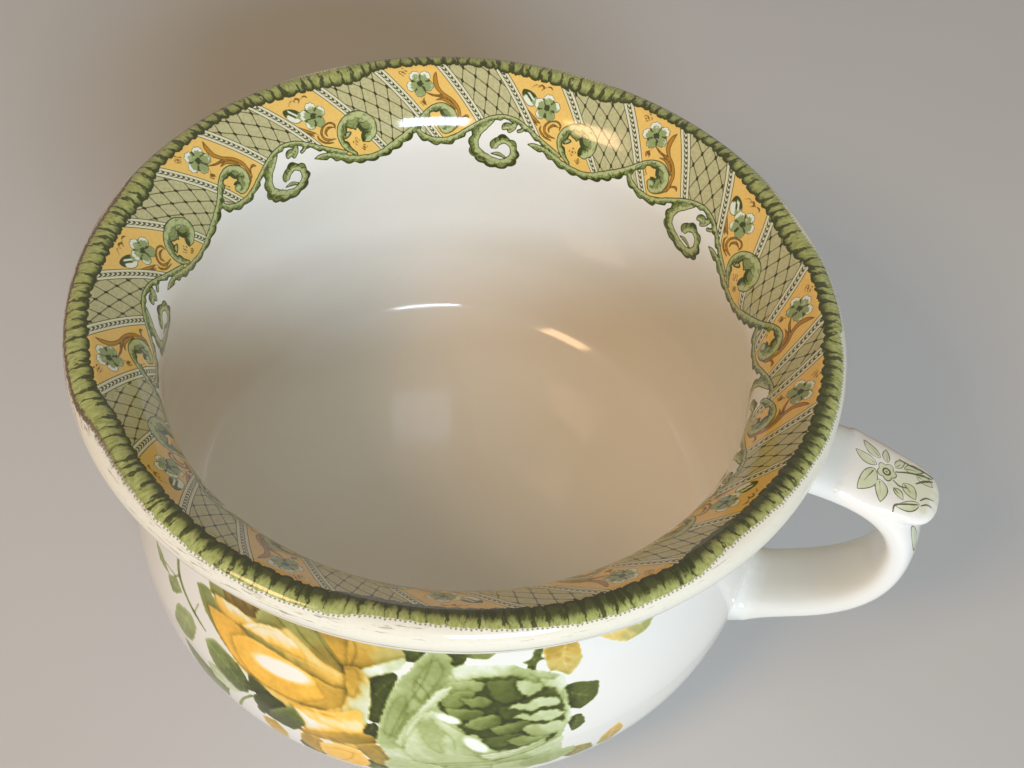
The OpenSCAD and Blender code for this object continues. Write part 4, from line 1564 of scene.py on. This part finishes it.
class Graph:
    def __init__(self, name):
        self.material = bpy.data.materials.new(name)
        self.material.use_nodes = True
        self.tree = self.material.node_tree
        self.shader = self.tree.nodes["Principled BSDF"]
        self.place = self.node("ShaderNodeTexCoord", {}).outputs["Object"]

    # Sets a node's inputs, by name or number, to values or to the outputs of other nodes
    def feed(self, node, inputs):
        for key, value in inputs.items():
            if isinstance(value, bpy.types.NodeSocket):
                self.tree.links.new(value, node.inputs[key])
            else:
                node.inputs[key].default_value = value
        return node

    def node(self, kind, inputs, **settings):
        made = self.tree.nodes.new(kind)
        for name, choice in settings.items():
            setattr(made, name, choice)
        return self.feed(made, inputs)

    def calc(self, operation, *values):
        return self.node("ShaderNodeMath", dict(enumerate(values)), operation=operation).outputs[0]

    def plus(self, first, second):
        return self.calc("ADD", first, second)

    def minus(self, first, second):
        return self.calc("SUBTRACT", first, second)

    def times(self, first, second):
        return self.calc("MULTIPLY", first, second)

    # Two values, each times its own share, added up
    def weighed(self, first, share, second, otherShare):
        return self.plus(self.times(first, share), self.times(second, otherShare))

    def distance(self, x, y):
        return self.calc("SQRT", self.plus(self.calc("POWER", x, 2.0), self.calc("POWER", y, 2.0)))

    # Goes evenly from outLow at the first limit to outHigh at the second
    def ramp(self, value, low, high, outLow=0.0, outHigh=1.0):
        inputs = {"Value": value, "From Min": low, "From Max": high, "To Min": outLow, "To Max": outHigh}
        return self.node("ShaderNodeMapRange", inputs).outputs["Result"]

    def vary(self, texture, low=0.0, high=1.0):
        return self.ramp(texture, *noiseSpan, low, high)

    # A gap is less than 0 inside a printed shape
    def inside(self, gap, soft, most=1.0):
        return self.ramp(gap, -soft, soft, most, 0.0)

    def outside(self, gap, soft):
        return self.ramp(gap, -soft, soft)

    def blend(self, share, first, second):
        return self.node("ShaderNodeMix", {0: share, 6: first, 7: second}, data_type="RGBA").outputs[2]

    def field(self, name):
        return self.node("ShaderNodeAttribute", {}, attribute_name=name).outputs["Fac"]

    def vectorOf(self, x, y):
        return self.node("ShaderNodeCombineXYZ", {0: x, 1: y}).outputs[0]

    def parts(self, vector):
        return self.node("ShaderNodeSeparateXYZ", {0: vector}).outputs

    def noise(self, vector, scale, detail=2.0, roughness=0.5):
        inputs = {"Vector": vector, "Scale": scale, "Detail": detail, "Roughness": roughness}
        return self.node("ShaderNodeTexNoise", inputs).outputs["Fac"]

    # Noise with its own pitch along each of two directions
    def streaks(self, u, v, pitch, detail, roughness):
        vector = self.vectorOf(self.times(u, pitch[0]), self.times(v, pitch[1]))
        return self.noise(vector, 1.0, detail, roughness)

    # Noise that changes along one direction only; the row picks which noise
    def along(self, u, pitch, row, detail, roughness):
        return self.noise(self.vectorOf(self.times(u, pitch), row), 1.0, detail, roughness)

    # Colour steps, darkest ink first: place on the tone scale and colour
    def inkScale(self, value, steps):
        node = self.node("ShaderNodeValToRGB", {"Fac": value})
        stops = node.color_ramp.elements
        while len(stops) < len(steps):
            stops.new(0.5)
        for stop, (place, colour) in zip(stops, steps):
            stop.position = place
            stop.color = linear(colour)
        return node.outputs["Color"]


glaze = {
    "white": (238, 235, 227),
    "pooled": (234, 229, 216),
    "cloudScale": 14.0,
    "cloudSpan": (0.35, 0.75),
    "speck": (120, 92, 60),
    "speckScale": 48.0,
    "speckRarity": 0.965,          # share of the cells that stay clean
    "speckRadius": (0.012, 0.022),
    "speckStrength": 0.75,
    "roughness": 0.10,
    "smoother": 0.03,              # how far wear changes the roughness, down and up
    "rougher": 0.06,
    "wearScale": 35.0,
    "wearSpan": (0.3, 0.8),
    "ior": 1.52,
    "waveScale": 90.0,
    "waveStrength": 0.35,
    "waveHeight": 0.00006,         # metres
}


def whiteGlaze(graph):
    cloud = graph.ramp(graph.noise(graph.place, glaze["cloudScale"], 3.0), *glaze["cloudSpan"])
    white = graph.blend(cloud, linear(glaze["white"]), linear(glaze["pooled"]))
    grit = graph.node("ShaderNodeTexVoronoi", {"Vector": graph.place, "Scale": glaze["speckScale"]})
    chance = graph.node("ShaderNodeSeparateColor", {0: grit.outputs["Color"]}).outputs[0]
    rare = graph.calc("GREATER_THAN", chance, glaze["speckRarity"])
    dot = graph.ramp(grit.outputs["Distance"], *glaze["speckRadius"], 1.0, 0.0)
    speck = graph.times(graph.times(rare, dot), glaze["speckStrength"])
    return graph.blend(speck, white, linear(glaze["speck"]))


def finishGlaze(graph, colour):
    wear = graph.noise(graph.place, glaze["wearScale"], 4.0)
    low, high = glaze["roughness"] - glaze["smoother"], glaze["roughness"] + glaze["rougher"]
    wave = graph.node("ShaderNodeBump", {
        "Strength": glaze["waveStrength"],
        "Distance": glaze["waveHeight"],
        "Height": graph.noise(graph.place, glaze["waveScale"]),
    })
    graph.feed(graph.shader, {
        "Base Color": colour,
        "Roughness": graph.ramp(wear, *glaze["wearSpan"], low, high),
        "IOR": glaze["ior"],
        "Normal": wave.outputs["Normal"],
    })
    return graph.material


borderInks = {
    "trellis": (180, 173, 122), "trellisPale": (200, 194, 147), "line": (84, 81, 36), "dot": (48, 47, 16),
    "yellow": (240, 201, 114), "yellowDeep": (232, 187, 93),
    "brown": (180, 130, 38), "brownDark": (118, 81, 18), "ropeWhite": (222, 218, 184), "cord": (76, 76, 36),
    "bandLight": (184, 190, 131), "bandMid": (128, 138, 76), "bandDark": (57, 66, 22),
    "gadroonLight": (183, 188, 118), "gadroonMid": (145, 151, 78), "gadroonShade": (58, 62, 18),
    "gadroonDark": (34, 35, 5),
    "flowerDark": (62, 70, 28), "flowerMid": (149, 161, 102), "flowerPale": (232, 235, 214),
    "wornEdge": (98, 68, 48), "lipCream": (226, 218, 186),
}
ink = {name: linear(colour) for name, colour in borderInks.items()}

# In the values of the printed inks, a pair is the two ends of a fade or of a range
trellis = {
    "line": (0.10, 0.24), "lineStrength": 0.9,
    "dot": (0.45, 0.65), "dotStrength": 0.95,
    "groundSpan": (0.35, 0.65),
}


# Two crossing families of lines, with a dot where they meet
def trellisPrint(graph, u, v, mottle):
    (ax, ay), (bx, by) = border["latticeA"], border["latticeB"]
    area = ax * by - ay * bx
    first = graph.weighed(u, by / area, v, -bx / area)
    second = graph.weighed(u, -ay / area, v, ax / area)
    gaps = []
    for count, spacing in ((first, area / math.hypot(bx, by)), (second, area / math.hypot(ax, ay))):
        gaps.append(graph.times(graph.calc("PINGPONG", count, 0.5), spacing))
    lines = graph.ramp(graph.calc("MINIMUM", *gaps), *trellis["line"], trellis["lineStrength"], 0.0)
    dots = graph.ramp(graph.distance(*gaps), *trellis["dot"], trellis["dotStrength"], 0.0)
    ground = graph.blend(graph.ramp(mottle, *trellis["groundSpan"]), ink["trellis"], ink["trellisPale"])
    return graph.blend(dots, graph.blend(lines, ground, ink["line"]), ink["dot"])


panels = {
    "soft": 0.1,
    "scrollWaver": 0.08,
    "scrollEdge": (-0.36, -0.2),
    "petalWaver": 0.14,
    "petalEdge": (-0.26, -0.1),
    "petalTones": ((0.0, "flowerDark"), (0.26, "flowerDark"), (0.40, "flowerMid"), (0.66, "flowerMid"),
                   (0.82, "flowerPale")),
}


def namedSteps(steps):
    return [(place, borderInks[name]) for place, name in steps]


# Slanting panels of yellow between the ropes, with their scrolls and flowers
def panelPrint(graph, fromMiddle, reach, mottle, colour):
    soft = panels["soft"]
    panel = graph.ramp(fromMiddle, reach - soft, reach + soft, 1.0, 0.0)
    colour = graph.blend(panel, colour, graph.blend(graph.vary(mottle), ink["yellow"], ink["yellowDeep"]))
    waver = panels["scrollWaver"]
    gap = graph.plus(graph.field("brownGap"), graph.vary(mottle, -waver, waver))
    scroll = graph.blend(graph.ramp(gap, *panels["scrollEdge"]), ink["brown"], ink["brownDark"])
    colour = graph.blend(graph.times(graph.inside(gap, soft), panel), colour, scroll)
    waver = panels["petalWaver"]
    tone = graph.plus(graph.field("flowerTone"), graph.vary(mottle, -waver, waver))
    petals = graph.inkScale(tone, namedSteps(panels["petalTones"]))
    gap = graph.field("flowerGap")
    petals = graph.blend(graph.ramp(gap, *panels["petalEdge"]), petals, ink["flowerDark"])
    return graph.blend(graph.inside(gap, soft), colour, petals)


rope = {
    "strandPitch": 0.72, "strandLean": 0.9, "strandDark": (0.48, 0.60),
    "cordEdge": (-0.16, -0.06),    # from the cord's half width
    "whiteStart": 0.1,
    "outline": (-0.3, -0.2),       # from the rope's half width
    "soft": 0.05,
}


# Two white lines with a twisted cord between them
def ropePrint(graph, gap, v, colour):
    lace = graph.weighed(v, rope["strandPitch"], gap, rope["strandLean"])
    dark = graph.ramp(graph.calc("FRACT", lace), *rope["strandDark"])
    strand = graph.blend(dark, ink["cord"], ink["ropeWhite"])
    cordHalf, ropeHalf = border["cordHalf"], border["ropeHalf"]
    cordFrom, cordTo = (cordHalf + step for step in rope["cordEdge"])
    lineFrom, lineTo = (ropeHalf + step for step in rope["outline"])
    twist = graph.blend(graph.ramp(gap, cordFrom, cordTo), strand, ink["cord"])
    twist = graph.blend(graph.ramp(gap, cordHalf, cordHalf + rope["whiteStart"]), twist, ink["ropeWhite"])
    twist = graph.blend(graph.ramp(gap, lineFrom, lineTo), twist, ink["line"])
    shown = graph.ramp(gap, ropeHalf - rope["soft"], ropeHalf + rope["soft"], 1.0, 0.0)
    return graph.blend(shown, colour, twist)


acanthus = {
    "pitch": 0.42,                 # veins in each mm along a band
    "veinLean": 0.34,
    "veinHalf": (0.05, 0.12),
    "veinSides": (-0.3, 0.3),
    "veinStrength": (0.15, 0.85),  # on the light side and on the dark side
    "hatchAcross": 1.9,
    "hatchSpan": (0.25, 0.75),
    "hatchDepth": 0.75,
    "shadeReach": 1.4,
    "darkEdge": (-0.42, -0.26),
    "soft": 0.08,
    "tones": ((0.0, "bandMid"), (0.12, "bandMid"), (0.26, "bandLight"), (0.48, "bandLight"),
              (0.57, "bandMid"), (0.68, "bandMid"), (0.78, "bandDark")),
}


def acanthusPrint(graph, colour):
    gap, side, run = (graph.field(name) for name in ("bandGap", "bandSide", "bandRun"))
    hatch = graph.streaks(run, side, (acanthus["pitch"], acanthus["hatchAcross"]), 3.0, 0.6)
    depth, reach = acanthus["hatchDepth"], acanthus["shadeReach"]
    shade = graph.plus(side, graph.ramp(hatch, *acanthus["hatchSpan"], -depth, depth))
    leaf = graph.inkScale(graph.ramp(shade, -reach, reach), namedSteps(acanthus["tones"]))
    veins = graph.weighed(run, acanthus["pitch"], side, acanthus["veinLean"])
    veins = graph.ramp(graph.calc("PINGPONG", veins, 0.5), *acanthus["veinHalf"], 1.0, 0.0)
    strength = graph.ramp(side, *acanthus["veinSides"], *acanthus["veinStrength"])
    leaf = graph.blend(graph.times(veins, strength), leaf, ink["bandDark"])
    leaf = graph.blend(graph.ramp(gap, *acanthus["darkEdge"]), leaf, ink["bandDark"])
    return graph.blend(graph.inside(gap, acanthus["soft"]), colour, leaf)


gadroon = {
    "lobePitch": 0.30,             # lobes in each mm round the lip
    "lobeWarp": 1.0,
    "warpPitch": (0.5, 0.22),
    "grainPitch": (1.1, 0.35),
    "variesPitch": 0.33,
    "strokePitch": 0.42,
    "lobeReach": 1.6,              # from a stroke to where the lobe's edge is flat
    "lobeBulge": 0.95,
    "lobeBack": 0.5,
    "strokeLength": (3.4, 18.0),
    "strokeSpan": (0.34, 0.60),
    "strokeHalf": (0.62, -0.45),   # half width where a stroke starts and where it ends
    "strokeVaries": (0.7, 2.2),
    "strokeSoft": (-0.12, 0.22),
    "rimDark": 0.75,               # width of the dark inner edge
    "rimVaries": (-0.35, 0.6),
    "rimSoft": (-0.25, 0.35),
    "oliveSpan": (0.38, 0.62),
    "inkVaries": (0.95, 0.72),
    "shadeGrain": 1.2,
    "shadeVaries": 1.0,
    "shadeReach": (0.7, 2.6),
    "shadeStrength": 0.9,
    "soft": 0.06,
    # painted shade: the dark inner edge is made wider on this side, where the lip's inner slope lies in shade
    "paintedShadeSide": -50.0,
    "paintedShadeReach": (0.2, 0.9),
    "paintedShadeWider": 2.8,
}


# 1 on the side of the pot that these degrees point to, 0 a quarter turn away
def towardSide(graph, sides, degrees):
    lean = math.radians(degrees)
    return graph.weighed(
        sides[0], math.cos(lean) / (rimRadius * mm), sides[1], math.sin(lean) / (rimRadius * mm))


# Olive lobes with dark strokes between them and a dark toothed inner edge, widened by painted shade on one
# side
# Gives the colour, and how deep behind that edge a place lies
def lobePrint(graph, u, v, sides):
    warp = graph.streaks(u, v, gadroon["warpPitch"], 3.0, 0.6)
    bent = graph.plus(u, graph.vary(warp, -gadroon["lobeWarp"], gadroon["lobeWarp"]))
    inputs = {"Scale": 1.0, "W": graph.times(bent, gadroon["lobePitch"])}
    lobes = graph.node("ShaderNodeTexVoronoi", inputs, voronoi_dimensions="1D", feature="DISTANCE_TO_EDGE")
    toStroke = graph.times(lobes.outputs["Distance"], 1 / gadroon["lobePitch"])
    bulge = graph.calc("POWER", graph.ramp(toStroke, 0.0, gadroon["lobeReach"]), 0.5)
    depth = graph.plus(graph.field("rimInner"), graph.times(bulge, gadroon["lobeBulge"]))
    depth = graph.minus(depth, gadroon["lobeBack"])
    varied = graph.along(u, gadroon["variesPitch"], 8.0, 3.0, 0.6)
    far = graph.along(u, gadroon["strokePitch"], 3.0, 2.0, 0.6)
    taper = graph.calc("DIVIDE", depth, graph.ramp(far, *gadroon["strokeSpan"], *gadroon["strokeLength"]))
    taper = graph.ramp(taper, 0.0, 1.0, *gadroon["strokeHalf"])
    half = graph.times(taper, graph.vary(varied, *gadroon["strokeVaries"]))
    dark = graph.ramp(graph.minus(toStroke, half), *gadroon["strokeSoft"], 1.0, 0.0)
    rimDark = graph.plus(gadroon["rimDark"], graph.vary(varied, *gadroon["rimVaries"]))
    rim = graph.ramp(graph.minus(depth, rimDark), *gadroon["rimSoft"], 1.0, 0.0)
    dark = graph.calc("MAXIMUM", dark, rim)
    grain = graph.streaks(u, v, gadroon["grainPitch"], 4.0, 0.65)
    olive = graph.blend(graph.ramp(grain, *gadroon["oliveSpan"]), ink["gadroonLight"], ink["gadroonMid"])
    dark = graph.times(dark, graph.vary(grain, *gadroon["inkVaries"]))
    olive = graph.blend(dark, olive, ink["gadroonDark"])
    shaded = graph.plus(depth, graph.vary(grain, -gadroon["shadeGrain"], gadroon["shadeGrain"]))
    shaded = graph.plus(shaded, graph.vary(varied, -gadroon["shadeVaries"], gadroon["shadeVaries"]))
    # painted shade: the dark inner edge grows wider on the near side of the lip, where its inner slope lies
    # in shade
    nearSideShade = towardSide(graph, sides, gadroon["paintedShadeSide"])
    shaded = graph.minus(shaded, graph.ramp(nearSideShade, *gadroon["paintedShadeReach"], 0.0, gadroon["paintedShadeWider"]))
    shade = graph.ramp(shaded, *gadroon["shadeReach"], gadroon["shadeStrength"], 0.0)
    return graph.blend(shade, olive, ink["gadroonShade"]), depth


lipEdge = {
    "wobble": 0.45, "wobblePitch": 0.55,
    "soft": 0.1,
    "cream": (0.3, 0.65),
    "dotPitch": 0.55, "dotDrop": 0.32, "dotRadius": (0.20, 0.34), "dotStrength": 0.65,
    "wear": ((204.0, 0.14), (-96.0, 0.06)),   # degrees round the pot, and how much
    "wearReach": (0.84, 0.96), "wearPitch": (0.13, 1.5),
    "wearSpan": (0.60, 0.70),
    "wearFrom": (-0.2, -0.8), "wearTo": (-4.8, -3.4), "wearStrength": 0.8,
    # a brown line where the print is rubbed through along one side
    "brownSide": 200.0,
    "brownReach": (0.66, 0.86),
    "brownHalf": 0.75,
    "brownSoft": 0.3,
    "brownPatches": 0.7, "brownPitch": (0.6, 1.2),
    "brownStrength": 0.9,
    "printFarther": 0.9,                      # the print runs farther out on that side
    "printFartherReach": (0.5, 0.9),
}


# The lip past the gadroon: cream glaze, a row of dots, and wear
def lipEdgePrint(graph, u, v, sides, mottle, white, olive):
    wobble = graph.along(u, lipEdge["wobblePitch"], 5.0, 3.0, 0.5)
    past = graph.plus(graph.field("rimOuter"), graph.vary(wobble, -lipEdge["wobble"], lipEdge["wobble"]))
    brownSide = towardSide(graph, sides, lipEdge["brownSide"])
    farther = graph.ramp(brownSide, *lipEdge["printFartherReach"], 0.0, lipEdge["printFarther"])
    past = graph.plus(past, farther)
    fromDot = graph.calc("PINGPONG", u, lipEdge["dotPitch"])
    dots = graph.distance(fromDot, graph.plus(past, lipEdge["dotDrop"]))
    creamy = graph.blend(graph.vary(mottle, *lipEdge["cream"]), white, ink["lipCream"])
    dotted = graph.ramp(dots, *lipEdge["dotRadius"], lipEdge["dotStrength"], 0.0)
    edge = graph.blend(dotted, creamy, ink["gadroonDark"])
    used = []
    worn = graph.streaks(u, v, lipEdge["wearPitch"], 5.0, 0.75)
    for degrees, weight in lipEdge["wear"]:
        used.append(graph.ramp(towardSide(graph, sides, degrees), *lipEdge["wearReach"], 0.0, weight))
    worn = graph.ramp(graph.plus(worn, graph.calc("MAXIMUM", *used)), *lipEdge["wearSpan"])
    rubbed = graph.times(worn, graph.ramp(past, *lipEdge["wearFrom"], 0.0, lipEdge["wearStrength"]))
    rubbed = graph.times(rubbed, graph.ramp(past, *lipEdge["wearTo"]))
    edge = graph.blend(rubbed, edge, ink["wornEdge"])
    olive = graph.blend(graph.outside(past, lipEdge["soft"]), edge, olive)
    patchy = graph.streaks(u, v, lipEdge["brownPitch"], 4.0, 0.7)
    patches = lipEdge["brownPatches"]
    stray = graph.plus(graph.calc("ABSOLUTE", past), graph.vary(patchy, patches, -patches))
    half, soft = lipEdge["brownHalf"], lipEdge["brownSoft"]
    line = graph.ramp(stray, half - soft, half + soft, lipEdge["brownStrength"], 0.0)
    line = graph.times(line, graph.ramp(brownSide, *lipEdge["brownReach"]))
    return graph.blend(line, olive, ink["wornEdge"])


def borderFinish():
    graph = Graph("printedBorder")
    strip = graph.node("ShaderNodeUVMap", {}, uv_map="borderMap").outputs[0]
    u, v = graph.parts(strip)[:2]
    sides = graph.parts(graph.place)
    mottle = graph.noise(graph.vectorOf(u, v), 0.9, 4.0, 0.7)
    colour = trellisPrint(graph, u, v, mottle)
    # how far a place lies from the middle of the nearer panel, along the strip
    across = graph.calc("WRAP", graph.minus(u, graph.times(v, border["slant"])), border["unit"], 0.0)
    ropes = border["ropes"]
    reach = (ropes[1] - ropes[0]) / 2
    offsets = []
    for low, high in (ropes[:2], ropes[2:]):
        offsets.append(graph.calc("ABSOLUTE", graph.minus(across, (low + high) / 2)))
    fromMiddle = graph.calc("MINIMUM", *offsets)
    colour = panelPrint(graph, fromMiddle, reach, mottle, colour)
    upright = math.cos(math.atan(border["slant"]))
    ropeGap = graph.times(graph.calc("ABSOLUTE", graph.minus(fromMiddle, reach)), upright)
    colour = ropePrint(graph, ropeGap, v, colour)
    white = whiteGlaze(graph)
    colour = graph.blend(graph.outside(graph.field("groundGap"), panels["soft"]), white, colour)
    colour = acanthusPrint(graph, colour)
    olive, depth = lobePrint(graph, u, v, sides)
    olive = lipEdgePrint(graph, u, v, sides, mottle, white, olive)
    colour = graph.blend(graph.outside(depth, gadroon["soft"]), colour, olive)
    return finishGlaze(graph, colour)


# Tone and colour of each step, darkest first
printInks = {
    "green": ((0.0, (44, 48, 10)), (0.16, (64, 72, 20)), (0.30, (94, 105, 42)), (0.46, (134, 145, 76)),
              (0.64, (173, 184, 122)), (0.80, (203, 211, 164)), (0.95, (238, 239, 228))),
    "yellow": ((0.0, (82, 60, 10)), (0.20, (124, 95, 22)), (0.34, (165, 127, 36)), (0.46, (206, 156, 48)),
               (0.60, (250, 191, 68)), (0.76, (252, 216, 126)), (0.95, (246, 240, 222))),
    "grainScale": 420.0, "grainTone": 0.03,
    "stainScale": 90.0, "stainTone": 0.045,
    "raggedEdge": 0.25, "soft": 0.12,
}


def bellyFinish():
    graph = Graph("printedBelly")
    grain = graph.noise(graph.place, printInks["grainScale"], 3.0, 0.6)
    stain = graph.noise(graph.place, printInks["stainScale"], 4.0, 0.6)
    tone = graph.field("printTone")
    for texture, depth in ((stain, printInks["stainTone"]), (grain, printInks["grainTone"])):
        tone = graph.plus(tone, graph.vary(texture, -depth, depth))
    green = graph.inkScale(tone, printInks["green"])
    yellow = graph.inkScale(tone, printInks["yellow"])
    inked = graph.blend(graph.field("printYellow"), green, yellow)
    ragged = graph.vary(stain, -printInks["raggedEdge"], printInks["raggedEdge"])
    shown = graph.inside(graph.plus(graph.field("printGap"), ragged), printInks["soft"])
    return finishGlaze(graph, graph.blend(shown, whiteGlaze(graph), inked))


sprigInks = {
    "wash": (220, 222, 192), "leaf": (199, 204, 156), "leafPale": (220, 223, 195), "line": (60, 62, 24),
}
sprigLook = {
    "outlineHalf": 0.14,
    "stainScale": 160.0,
    "washRagged": 0.8, "washSoft": 0.6, "washStrength": 0.85,
    "leafSpan": (0.35, 0.65), "leafSoft": 0.15,
    "lineRagged": 0.08, "lineSoft": (-0.06, 0.08), "lineStrength": 0.9,
}


def handleFinish():
    graph = Graph("printedHandle")
    stain = graph.noise(graph.place, sprigLook["stainScale"], 4.0, 0.6)
    tint = {name: linear(colour) for name, colour in sprigInks.items()}
    ragged = sprigLook["washRagged"]
    wash = graph.plus(graph.field("washGap"), graph.vary(stain, -ragged, ragged))
    wash = graph.inside(wash, sprigLook["washSoft"], sprigLook["washStrength"])
    colour = graph.blend(wash, whiteGlaze(graph), tint["wash"])
    leaf = graph.blend(graph.ramp(stain, *sprigLook["leafSpan"]), tint["leaf"], tint["leafPale"])
    colour = graph.blend(graph.inside(graph.field("printGap"), sprigLook["leafSoft"]), colour, leaf)
    edges = [graph.calc("ABSOLUTE", graph.field(name)) for name in ("printGap", "flowerGap")]
    outline = graph.minus(graph.calc("MINIMUM", *edges), sprigLook["outlineHalf"])
    lines = graph.calc("MINIMUM", outline, graph.field("inkGap"))
    ragged = sprigLook["lineRagged"]
    lines = graph.plus(lines, graph.vary(stain, -ragged, ragged))
    drawnLine = graph.ramp(lines, *sprigLook["lineSoft"], sprigLook["lineStrength"], 0.0)
    return finishGlaze(graph, graph.blend(drawnLine, colour, tint["line"]))


clay = {
    "bare": (212, 198, 172),
    "rubbed": (146, 134, 116),
    "dirtScale": 120.0, "dirtSpan": (0.45, 0.7),
    "roughness": 0.78,
    "glazeLine": 1.4,              # height where the glaze ends, in mm
    "lineSoft": 0.15, "lineRagged": 0.5, "lineScale": 260.0,
}


def footFinish():
    graph = Graph("turnedFoot")
    height = graph.times(graph.parts(graph.place)[2], 1 / mm)
    wander = graph.noise(graph.place, clay["lineScale"], 3.0)
    line = graph.plus(height, graph.vary(wander, -clay["lineRagged"], clay["lineRagged"]))
    glazed = graph.ramp(line, clay["glazeLine"] - clay["lineSoft"], clay["glazeLine"] + clay["lineSoft"])
    dirt = graph.noise(graph.place, clay["dirtScale"], 5.0, 0.7)
    bare = graph.blend(graph.ramp(dirt, *clay["dirtSpan"]), linear(clay["bare"]), linear(clay["rubbed"]))
    finishGlaze(graph, graph.blend(glazed, bare, whiteGlaze(graph)))
    roughness = graph.ramp(glazed, 0.0, 1.0, clay["roughness"], glaze["roughness"])
    graph.feed(graph.shader, {"Roughness": roughness})
    return graph.material


def dress(piece, material, slot, *nodes):
    piece.data.materials.clear()
    piece.data.materials.append(material)
    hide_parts(*nodes)
    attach(piece, "root")


borderGlaze = borderFinish()
dress(lip, borderGlaze, "green_border", "lip_roll")
dress(collar, borderGlaze, "white_glaze", "collar")
dress(bowl, bellyFinish(), "white_glaze", "bowl")
dress(handlePiece, handleFinish(), "white_glaze", "handle_strap", "thumb_rest", "upper_joint", "lower_joint")
dress(foot, footFinish(), "bare_clay", "foot_ring")
print("finishes set")


def layFloor():
    bm = bmesh.new()
    bmesh.ops.create_grid(bm, x_segments=1, y_segments=1, size=studio["floorSize"] / 2 * mm)
    floor = meshFrom(bm, "studioFloor")
    graph = Graph("paleFloor")
    cloud = graph.noise(graph.place, studio["floorCloud"], 3.0)
    shade = linear(tuple(c * studio["floorShade"] for c in studio["floorColour"]))
    graph.feed(graph.shader, {
        "Base Color": graph.blend(cloud, linear(studio["floorColour"]), shade),
        "Roughness": studio["floorRoughness"],
    })
    floor.data.materials.append(graph.material)


layFloor()
print("floor laid")

bpy.context.view_layer.update()
